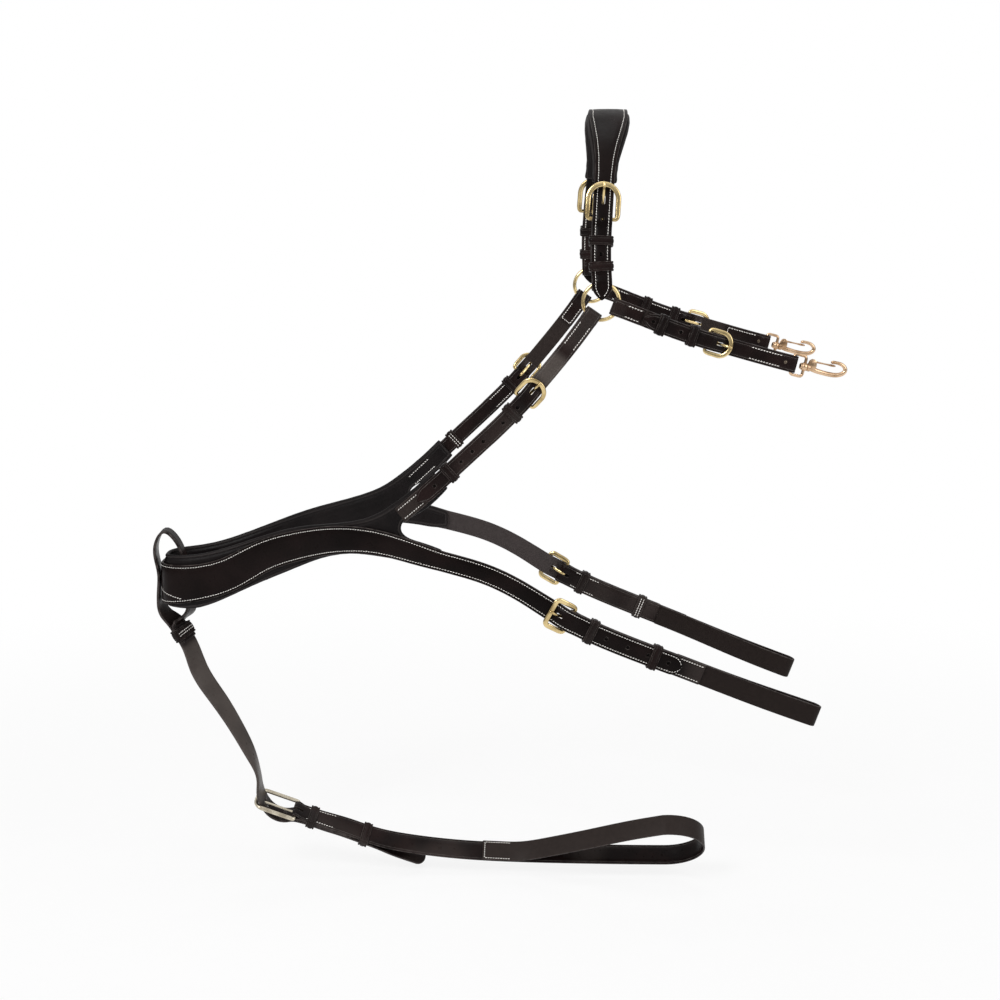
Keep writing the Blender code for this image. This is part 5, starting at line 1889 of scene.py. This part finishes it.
@dataclass
class WitherPiece:
    """The strap over the withers with its pad, and on each side the chape between buckle and ring."""

    inset: float = 3.9

    def __post_init__(self) -> None:
        """Draws the arch from the near ring over the withers to the off ring, and sets the buckle."""
        near = [tuple(RING_PLACE)] + WITHER_ARCH
        line = Spline(near + [(x, -y, z) for x, y, z in near[-2::-1]]).points
        self.line = Route(line, np.cross(np.gradient(line, axis=0), (-1, 0, 0)))
        self.middle = self.line.length / 2
        self.buckle = Buckle(self.line, WITHER_HEEL, 1, 1.5, WITHER_BUCKLE, CHAPE_THICK, WITHER_THICK,
                             WITHER_WIDTH, fold=WITHER_FOLD, flare=1.6)
        self.level = self.buckle.level + self.buckle.billet_in

    def strap(self) -> Strap:
        """The strap, whose two ends are billets.

        Returns:
            The strap, sewn.
        """
        hold = self.buckle
        over_ring = RING_LEVEL + RING_WIRE + RING_PLAY + CHAPE_THICK + GAP + WITHER_THICK / 2
        billet = hold.billet_run()
        resting = billet[-1][1]
        near = (billet + eased([billet[-1], (28, resting), (20, over_ring), (2, over_ring)])[1:])[::-1]
        top = eased([near[-1], (self.middle - 2, self.level)])[1:]
        half = near + top
        run = half + [(self.line.length - s, n) for s, n in reversed(half)]
        strap = Strap(self.line, run, self.width, WITHER_THICK, (Tip.POINTED, Tip.POINTED),
                      self.inset, crown=0.5, crease_highlight_share=0.0, hide=Hide.LINED)
        strap.outline_seam(self.inset)
        return strap

    def width(self, s: float) -> float:
        """The strap's width at a distance along its route."""
        return lookup(WITHER_WIDTHS, abs(s - self.middle))

    def lay(self, s: float, b: float, n: float) -> np.ndarray:
        """The place of a point of the flat pad: s from the top, b across and n out of its outer face."""
        return self.line.place(self.middle + s, b, self.level - WITHER_THICK / 2 - GAP + n)

    def pad(self) -> Mesh:
        """The pad under the strap.

        Returns:
            Its mesh.
        """
        places = np.linspace(-1, 1, 60) * (self.middle - WITHER_PAD_REACH)
        tips = [Tip.ROUNDED.share(8.0 + places[-1] - abs(s)) for s in places]
        halves = [lookup(WITHER_PAD_WIDTHS, abs(s)) / 2 * tip for s, tip in zip(places, tips)]
        outline = [*zip(places, halves), *((s, -b) for s, b in zip(places[::-1], halves[::-1]))]
        return Pad(outline, 8.0, self.lay, grid=5.0, roll=4.5).mesh()

    def chape(self) -> Strap:
        """The strap that holds the buckle on the ring.

        Returns:
            The strap, sewn.
        """
        hold = self.buckle
        fold = ring_fold(WITHER_WIDTH, CHAPE_THICK, hold.level + hold.ply, hold.level - hold.ply)
        wrap = hold.chape_wrap()
        run = wrap + eased([wrap[-1], fold[0]])[1:] + fold[1:]
        run += eased([fold[-1], (WITHER_TURNED_BACK, hold.level + hold.ply)])[1:]
        strap = Strap(self.line, run, WITHER_WIDTH, CHAPE_THICK)
        strap.seam(29, 78, 3.4, -1, Face.GRAIN)
        return strap

    def build(self, bench: Bench) -> None:
        """Puts the wither piece together.

        Args:
            bench: where its pieces go.
        """
        hold = self.buckle
        pad = bench.place("wither_pad", "pad", self.pad(), PAD_LEATHER)
        levels = zip(WITHER_HOLES, (hold.level + hold.top, hold.level + hold.rest))
        near = joined(holes(self.line, levels) + [hold.tongue_hole()])
        bench.strap("wither_strap", self.strap(), [near, mirror_image(near)], paired=False,
                    finish=RAISED_LEATHER)
        bench.strap("wither_chape", self.chape(), [hold.chape_slot()])
        bench.fittings("wither", hold, *WITHER_KEEPERS)


@dataclass
class Rings:
    """The brass rings that the straps meet at."""

    steps: int = 96

    def build(self, bench: Bench) -> None:
        """Spins the rings.

        Args:
            bench: where its pieces go.
        """
        out = CHEST.direction(RING_SPOT[0])
        along = np.cross(out, (0, 0, 1))
        centre = RING_PLACE + RING_LEVEL * out
        turn = Matrix((along, out, np.cross(along, out))).transposed().to_4x4()
        place = Matrix.Translation(vec(centre + RING_RADIUS * along)) @ turn
        bm = bmesh.new()
        bmesh.ops.create_circle(bm, segments=20, radius=RING_WIRE * MM, matrix=place)
        bmesh.ops.spin(bm, geom=list(bm.edges), cent=vec(centre), axis=Vector(out), angle=2 * math.pi,
                       steps=self.steps, use_merge=True)
        bench.pair("ring", "brass", finished(bm), BRASS)


@dataclass
class SaddleStraps:
    """The saddle straps: a chape on the ring, and a billet that carries the snap hook."""

    line: Route = field(default_factory=lambda: Route.wrapped(SADDLE_ROUTE))
    inset: float = 3.2

    def __post_init__(self) -> None:
        """Sets the buckle and the snap hook's place."""
        self.buckle = Buckle(self.line, SADDLE_HEEL, 1, RING_LEVEL, SMALL_BUCKLE, CHAPE_THICK,
                             STRAP_THICK, SADDLE_WIDTH, fold=SADDLE_FOLD)
        self.level = self.buckle.level + self.buckle.billet_in
        self.eye_level = self.level - 1.4

    def chape(self) -> Strap:
        """The strap that holds the buckle on the ring.

        Returns:
            The strap, sewn.
        """
        hold = self.buckle
        fold = ring_fold(SADDLE_WIDTH, CHAPE_THICK, hold.level + hold.ply, hold.level - hold.ply)
        wrap = hold.chape_wrap()
        run = wrap + eased([wrap[-1], (40, wrap[-1][1])])[1:] + fold
        run += eased([fold[-1], (SADDLE_TURNED_BACK, hold.level + hold.ply)])[1:]
        strap = Strap(self.line, run, SADDLE_WIDTH, CHAPE_THICK)
        strap.seam(28, SADDLE_TURNED_BACK - 2, self.inset, 1, Face.GRAIN)
        strap.seam(28, SADDLE_TURNED_BACK - 2, self.inset, -1, Face.GRAIN)
        strap.seam(70, SADDLE_HEEL - 10, self.inset, -1, Face.GRAIN)
        return strap

    def billet(self) -> Strap:
        """The strap from the snap hook back through the buckle.

        Returns:
            The strap, sewn.
        """
        hold, eye, back = self.buckle, SNAP_EYE_AT, SADDLE_BILLET_BACK
        bend = EYE_WIRE + 0.4 + STRAP_THICK / 2
        under = self.level - STRAP_THICK - GAP
        run = eased([(back, under), (RIVET_AT, under), (eye, self.eye_level - bend)])[:-1]
        run += arc((eye, self.eye_level), bend, -90, 90)
        billet = hold.billet_run()
        run += eased([(eye, self.eye_level + bend), (RIVET_AT, self.level), billet[0]])[1:] + billet[1:]
        run += eased([billet[-1], (SADDLE_TIP, billet[-1][1])])[1:]
        strap = Strap(self.line, run, SADDLE_WIDTH, STRAP_THICK, (Tip.SQUARE, Tip.POINTED),
                      hide=Hide.GRAIN_IN)
        strap.seam(back + 1, RIVET_AT - 5, self.inset, -1, Face.GRAIN)
        strap.seam(back + 2, RIVET_AT - 5, self.inset, 1, Face.GRAIN, across_at=back + 2)
        return strap

    def rivet(self) -> Mesh:
        """The rivet behind the snap hook's eye, with a head on each face.

        Returns:
            Its mesh.
        """
        across, out = self.line.frame(RIVET_AT)[1:]
        start = self.line.place(RIVET_AT, 0, self.level - STRAP_THICK / 2 - GAP / 2)
        half = STRAP_THICK + GAP / 2
        head = [(half + 0.9, 0.5), (half + 0.75, 1.3), (half + 0.35, 1.9), (half - 0.1, 2.1)]
        stations = head + [(half - 0.1, 1.0), (-half + 0.1, 1.0)] + [(-s, r) for s, r in head[::-1]]
        return turned(start, out, across, stations)

    def build(self, bench: Bench) -> None:
        """Puts the saddle straps together.

        Args:
            bench: where its pieces go.
        """
        hold = self.buckle
        sliding, fixed = SADDLE_KEEPERS
        bench.strap("saddle_chape", self.chape(), [hold.chape_slot()], extra=[hold.keeper(fixed)])
        cuts = holes(self.line, [(s, hold.level + hold.rest) for s in SADDLE_HOLES])
        bench.strap("saddle_billet", self.billet(), cuts + [hold.tongue_hole()])
        bench.pair("saddle_billet", "rivet", self.rivet(), AGED_BRASS, stands_for=False)
        bench.fittings("saddle", hold, sliding)
        SnapHook(self.line, self.eye_level).build(bench)


@dataclass
class SnapHook:
    """The snap hook: an eye in the strap's fold, a swivelling hook and its sprung gate."""

    line: Route
    level: float

    def __post_init__(self) -> None:
        """Sets the hook's own directions and the places along it."""
        self.t, self.across, self.out = self.line.frame(SNAP_EYE_AT)
        self.centre = self.line.place(SNAP_EYE_AT, 0, self.level)
        self.boss_from, self.boss_to = EYE_REACH - 2.6, EYE_REACH + 2.6
        self.neck = self.boss_to + GAP

    def spot(self, s: float, b: float, n: float = 0.0) -> np.ndarray:
        """A place s behind the eye's bar, b across and n out."""
        return self.centre + s * self.t + b * self.across + n * self.out

    def rod(self, path: Sequence, sides: int = 16, squash: float = 1.0) -> Mesh:
        """A rod along (s, b, radius) stations in the hook's plane.

        Args:
            path: its stations.
            sides: sides of its section.
            squash: its thickness as a share of its width.

        Returns:
            Its mesh.
        """
        path = np.asarray(path, float)
        step = unit(np.gradient(path[:, :2], axis=0))
        sections = [oval(self.spot(s, b), x * self.across - y * self.t, self.out, r, r * squash, sides)
                    for (s, b, r), (x, y) in zip(path, step)]
        return finished(sweep(sections))

    def eye(self) -> Mesh:
        """The eye: a squared loop of wire with a boss for the swivel.

        Returns:
            Its mesh.
        """
        corner, sections = 3.0, []
        for quadrant, (far, b) in enumerate(((1, 1), (0, 1), (0, -1), (1, -1))):
            for i in range(7):
                a = math.radians(90 * quadrant + 15 * i)
                pivot = (EYE_REACH - corner) if far else corner
                middle = self.spot(pivot + corner * math.cos(a),
                                   b * (EYE_HALF_WIDTH - corner) + corner * math.sin(a))
                side = math.cos(a) * self.t + math.sin(a) * self.across
                sections.append(oval(middle, side, self.out, EYE_WIRE, EYE_WIRE, 14))
        boss = turned(self.centre, self.t, self.across,
                      [(self.boss_from, 2.6), (self.boss_from, 3.9), (self.boss_from + 0.6, 4.4),
                       (self.boss_to - 0.6, 4.4), (self.boss_to, 3.9), (self.boss_to, 2.6)])
        return joined([finished(sweep(sections, closed=True)), boss])

    def hook(self) -> Mesh:
        """The hook: swivel head and collar, body, curved nose, and the cheeks that hold the gate.

        Returns:
            Its mesh.
        """
        head, neck = self.boss_from - GAP, self.neck
        swivel = turned(self.centre, self.t, self.across,
                        [(head - 2.4, 1.2), (head - 2.1, 2.6), (head - 1.2, 3.4), (head, 3.4),
                         (head, 2.0), (neck, 2.0), (neck, 3.4), (neck + 0.5, 3.9), (neck + 3.2, 3.9),
                         (neck + 3.9, 3.3), (neck + 4.6, 2.7), (neck + 5.6, 2.4)])
        path = [(neck + 3.0, 0.0, 2.6), (neck + 8, -0.9, 2.75), (neck + 16, -1.5, 2.6),
                (neck + 26, -1.4, 2.55), (neck + 33, -0.3, 2.45), (neck + 38.5, 2.6, 2.3),
                (neck + 40.5, 6.6, 2.2), (neck + 38, 10.4, 2.05), (neck + 33, 12.1, 1.9),
                (neck + 28, 12.1, 1.75), (neck + 24.4, 11.5, 1.45), (neck + 23.6, 11.3, 0.9)]
        body = self.rod(Spline(path, 5).points)
        return joined([swivel, body] + self.cheeks())

    def cheeks(self) -> list[Mesh]:
        """The two plates that carry the gate's pin.

        Returns:
            The plates' meshes and the pin's.
        """
        neck, plates = self.neck, []
        for side in (-1, 1):
            outline = [(0.6, -0.5), (8.8, -0.8), (9.2, 4.0), (8.4, 8.6), (6.2, 10.0), (3.6, 9.8),
                       (1.4, 7.8), (0.5, 4.0)]
            bm = sweep([[self.spot(neck + s, b, side * n) for s, b in outline] for n in (1.45, 2.9)])
            rims = [e for e in bm.edges if len({f.normal.to_tuple(2) for f in e.link_faces}) > 1]
            bmesh.ops.bevel(bm, geom=rims, offset=0.35 * MM, segments=2, profile=0.5, affect="EDGES",
                            material=-1)
            plates.append(finished(bm))
        pin = turned(self.spot(self.neck + 4.3, 7.6), self.out, self.t,
                     [(-3.5, 0.6), (-3.3, 1.2), (-2.8, 1.35), (2.8, 1.35), (3.3, 1.2), (3.5, 0.6)], 16)
        return plates + [pin]

    def gate(self) -> Mesh:
        """The gate: a thin sprung lever from the pin to the nose, with a thumb rest.

        Returns:
            Its mesh.
        """
        neck, path = self.neck, []
        for s, b, r in ((3.0, 7.6, 1.0), (5.6, 7.65, 1.05), (12, 7.8, 1.0), (20, 8.05, 0.95),
                        (28, 8.3, 0.95), (29.2, 8.35, 0.6)):
            path.append((neck + s, b, r))
        return self.rod(Spline(path, 4).points, 12, 1.9)

    def build(self, bench: Bench) -> None:
        """Puts the snap hook together.

        Args:
            bench: where its pieces go.
        """
        bench.pair("snap_eye", "brass", self.eye(), WARM_BRASS)
        bench.pair("snap_hook", "brass", self.hook(), WARM_BRASS)
        bench.pair("snap_gate", "brass", self.gate(), WARM_BRASS)


def twisted(degrees: float) -> np.ndarray:
    """A strap's width direction, turned about the upright from straight across the horse."""
    a = math.radians(degrees)
    return np.array([math.sin(a), math.cos(a), 0.0])


@dataclass
class Martingale:
    """The strap from the chest pad with its gathering keeper, and the girth loop strap."""

    inset: float = 3.4

    def __post_init__(self) -> None:
        """Draws the lower route, sets the buckle, and draws the upper route through it."""
        places = [(x, 0, z) for x, z, roll in LOWER_ROUTE]
        widths = [(0, math.cos(math.radians(roll)), math.sin(math.radians(roll)))
                  for x, z, roll in LOWER_ROUTE]
        self.lower = Route.by_width(places, widths)
        self.buckle = Buckle(self.lower, self.lower.at(MARTINGALE_HEEL), -1, 0.0, MARTINGALE_BUCKLE,
                             CHAPE_THICK, MARTINGALE_THICK, MARTINGALE_WIDTH, arched=False,
                             fold=MARTINGALE_FOLD, flat=True, corner=9.0, flare=0.4)
        self.upper, self.gathered = self.upper_line()

    def upper_line(self) -> tuple[Route, float]:
        """The route round the chest pad, down to the buckle and under the chape.

        Returns:
            The route, and the distance at which its two legs are gathered by a keeper.
        """
        hold, heading = self.buckle, np.array(KEEPER_HEADING)
        across = squared(twisted(KEEPER_TWIST), heading)
        gather = np.array(KEEPER_SPOT)
        behind = gather - (MARTINGALE_THICK + GAP) * np.cross(across, heading)
        rear = [behind + along * heading for along in (11, 5, -3, -10)]
        front = [gather + along * heading for along in (-11, -4, 4, 12)]
        places = rear + [place for place, twist in ROUND_PAD] + front
        places += [place for place, twist in DOWN_STRAP]
        widths = [across] * len(rear) + [twisted(twist) for place, twist in ROUND_PAD]
        widths += [across] * len(front) + [twisted(twist) for place, twist in DOWN_STRAP]
        bend = [(47.5, -12), (42.5, -3.2), (37.5, 3), (31.5, 8.5), (24, 12.3), (16, 13.2), (8, 11),
                (1, hold.top + 0.4), (-6, hold.rest + 0.9), (-13, hold.rest + 0.1), (-36, hold.rest),
                (-54, hold.rest), (-72, hold.rest), (-90, hold.rest), (-100, hold.rest + 1.2),
                (-114, hold.rest + 6), (-132, hold.rest + 13), (-156, hold.rest + 23)]
        for s, n in hold.to_route(bend):
            places.append(hold.route.place(s, 0, n))
            widths.append(-hold.route.frame(s)[1])
        line = Route.by_width(places, widths)
        return line, line.along[(len(rear) + len(ROUND_PAD) + 1) * STEPS + STEPS // 2]

    def strap(self) -> Strap:
        """The upper strap.

        Returns:
            The strap.
        """
        run = eased([(0, 0.0), (self.upper.length, 0.0)], coarse=3.0)
        buckle_end = self.upper.nearest(self.lower.place(*self.buckle.to_route([(30, 0)])[0]))
        # the grain gets a painted sheen from past the keeper down to the buckle
        return Strap(self.upper, run, MARTINGALE_WIDTH, MARTINGALE_THICK, (Tip.SQUARE, Tip.ROUNDED),
                     2.6, hide=Hide.LINED, rubbed_and_sheen=(self.gathered + 4, buckle_end))

    def loop(self) -> Strap:
        """The lower strap: from the buckle to an open loop for the girth, and back.

        Returns:
            The strap, sewn.
        """
        hold, lower = self.buckle, self.lower
        end, back = lower.at(MARTINGALE_LOOP_END), lower.at(MARTINGALE_LOOP_BACK)
        radius, wrap = MARTINGALE_LOOP_RADIUS, hold.chape_wrap()
        level, inner = hold.level - hold.ply, hold.level - hold.ply - CHAPE_THICK - GAP
        out = eased([wrap[-1], (end - radius - 8, level)])[1:]
        turn = arc((end - radius, level - radius), radius, 90, -100, 26)
        tear = Spline([turn[-1], (end - 80, level - 70), (end - 130, level - 43),
                       (end - 178, level - 17), (back + 40, inner - 0.6), (back + 18, inner),
                       (back, inner)], 10).points
        run = wrap + out + turn + [tuple(p) for p in tear[1:]]
        strap = Strap(lower, run, MARTINGALE_WIDTH, CHAPE_THICK, hide=Hide.GRAIN_IN)
        strap.seam(hold.heel + 13, hold.heel + 68, self.inset, -1, Face.GRAIN)
        strap.seam(hold.heel + 13, hold.heel + 46, self.inset, 1, Face.GRAIN)
        strap.seam(back + 3, back + 32, 2.2, -1, Face.FLESH, across_at=back + 2.5)
        strap.seam(back + 3, back + 32, 2.2, 1, Face.FLESH)
        return strap

    def build(self, bench: Bench) -> None:
        """Puts the martingale together.

        Args:
            bench: where its pieces go.
        """
        hold, upper, (sliding, fixed) = self.buckle, self.upper, MARTINGALE_KEEPERS
        # the tongue's hole and three more, as (d, h)
        marks = [(34.5, 4.3), (12.0, 12.5), (-36.0, hold.rest), (-60.0, hold.rest)]
        tongue, *spots = [upper.nearest(self.lower.place(s, 0, n)) for s, n in hold.to_route(marks)]
        cuts = [punch(upper, tongue, 0, 7.0, TONGUE_WIDTH / 2 + 0.9)]
        cuts += holes(upper, [(s, 0) for s in spots])
        bench.strap("martingale_strap", self.strap(), cuts, paired=False)
        bench.strap("martingale_girth_loop", self.loop(), [hold.chape_slot()], paired=False,
                    extra=[hold.keeper(fixed)])
        bench.fittings("martingale", hold, sliding, paired=False, brass=PALE_BRASS)
        high = MARTINGALE_THICK / 2
        low = -high - MARTINGALE_THICK - GAP
        band = keeper_mesh(upper, self.gathered, low, high, MARTINGALE_WIDTH, GATHER_KEEPER_LENGTH)
        bench.place("martingale_keeper", "leather", band, STRAP_LEATHER)
        stitches = keeper_stitches(upper, self.gathered, low, MARTINGALE_WIDTH)
        bench.place("martingale_keeper", "stitches", stitches, THREAD, stands_for=False)


@dataclass
class Studio:
    """The camera at the photograph's angle, soft lamps, a white surround and a pale floor."""

    target: tuple[float, float, float] = (0.36904, 0.0, 0.09161)
    elevation: float = 10.0
    distance: float = 2.3
    lens: float = 73.93
    floor_level: float = -0.345

    def camera(self) -> None:
        """The camera."""
        data = bpy.data.cameras.new("camera")
        data.lens, data.sensor_width = self.lens, 36.0
        data.clip_end = 50.0
        camera = bpy.data.objects.new("camera", data)
        a = math.radians(self.elevation)
        back = Vector((0, -math.cos(a), math.sin(a)))
        camera.location = Vector(self.target) + back * self.distance
        camera.rotation_euler = back.to_track_quat("Z", "Y").to_euler()
        bpy.context.scene.collection.objects.link(camera)
        bpy.context.scene.camera = camera

    def lamp(self, name: str, place: Sequence, size: float, power: float, mirrored: bool = True) -> None:
        """A soft square lamp that faces the object.

        Args:
            name: its name.
            place: where it stands, in metres.
            size: its side.
            power: its power in watts.
            mirrored: whether it shows in shiny pieces.
        """
        data = bpy.data.lights.new(name, "AREA")
        data.shape, data.size, data.energy = "SQUARE", size, power
        lamp = bpy.data.objects.new(name, data)
        lamp.location = place
        lamp.visible_glossy = mirrored
        aim = Vector(place) - Vector(self.target)
        lamp.rotation_euler = aim.to_track_quat("Z", "Y").to_euler()
        bpy.context.scene.collection.objects.link(lamp)

    def surround(self) -> None:
        """The world: white where it is seen, softer where it lights, and darker low down in reflections."""
        world = bpy.data.worlds.new("surround")
        bpy.context.scene.world = world
        nodes = Nodes(world)
        seen = nodes.add("ShaderNodeLightPath").outputs
        height = nodes.read("ShaderNodeSeparateXYZ", "Z", {0: nodes.places["Generated"]})
        mirrored = nodes.spread(height, 0.05, 0.75, 0.34, 0.9, soft=False)
        lighting = nodes.spread(seen["Is Glossy Ray"], 0.0, 1.0, 0.45, mirrored, soft=False)
        strength = nodes.spread(seen["Is Camera Ray"], 0.0, 1.0, lighting, 1.0, soft=False)
        nodes.shaded({"Color": (1, 1, 1, 1), "Strength": strength})

    def floor(self) -> None:
        """The pale floor, which fades into the white surround at its rim."""
        bm = bmesh.new()
        bmesh.ops.create_circle(bm, cap_ends=True, segments=96, radius=3.0)
        bmesh.ops.translate(bm, verts=bm.verts, vec=(self.target[0], 0, self.floor_level))
        floor = bpy.data.objects.new("floor", finished(bm))
        material = bpy.data.materials.new("pale_floor")
        nodes = Nodes(material)
        centre = nodes.read("ShaderNodeMapping", "Vector",
                            {"Vector": nodes.object, "Location": (-self.target[0], 0, -self.floor_level)})
        distance = nodes.read("ShaderNodeVectorMath", "Value", {0: centre}, operation="LENGTH")
        away = nodes.spread(distance, 0.55, 1.6, 0.8, 1.0)
        seen = nodes.add("ShaderNodeLightPath").outputs
        any_ray = nodes.math("MAXIMUM", seen["Is Camera Ray"], seen["Is Glossy Ray"])
        any_ray = nodes.math("MAXIMUM", any_ray, seen["Is Transmission Ray"])
        speckle = nodes.mix(nodes.noise(40.0, 3.0), (0.90, 0.90, 0.90, 1), (0.93, 0.93, 0.93, 1))
        nodes.shaded({"Base Color": speckle, "Roughness": 0.9, "Specular IOR Level": 0.1})
        glow = nodes.read("ShaderNodeEmission", "Emission", {"Color": (1, 1, 1, 1), "Strength": 1.0})
        mixed = nodes.read("ShaderNodeMixShader", 0, {0: nodes.math("MULTIPLY", away, any_ray),
                                                      1: nodes.shader.outputs["BSDF"], 2: glow})
        nodes.put(nodes.tree.nodes["Material Output"].inputs["Surface"], mixed)
        floor.data.materials.append(material)
        bpy.context.scene.collection.objects.link(floor)

    def build(self) -> None:
        """Sets the studio up."""
        bpy.context.scene.view_settings.view_transform = "Standard"
        self.camera()
        self.surround()
        self.floor()
        self.lamp("key", (-0.7, -1.7, 1.5), 0.8, 26.0)
        self.lamp("fill", (1.9, -1.3, 0.9), 1.2, 12.0)
        self.lamp("top", (0.3, 0.2, 2.3), 0.9, 5.0)
        self.lamp("rim", (0.6, 2.0, 1.3), 1.0, 14.0, mirrored=False)


def main() -> None:
    """Builds the breastplate's looks round its frame, piece by piece."""
    logging.basicConfig(level=logging.INFO, format="%(name)s: %(message)s")
    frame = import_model()
    Studio().build()
    bench = Bench.of(frame["record"])
    for assembly in (ChestPiece(), ShoulderStraps(), WitherPiece(), Rings(), SaddleStraps(), Martingale()):
        LOG.info("building %s", type(assembly).__name__)
        assembly.build(bench)


if __name__ == "__main__":
    main()
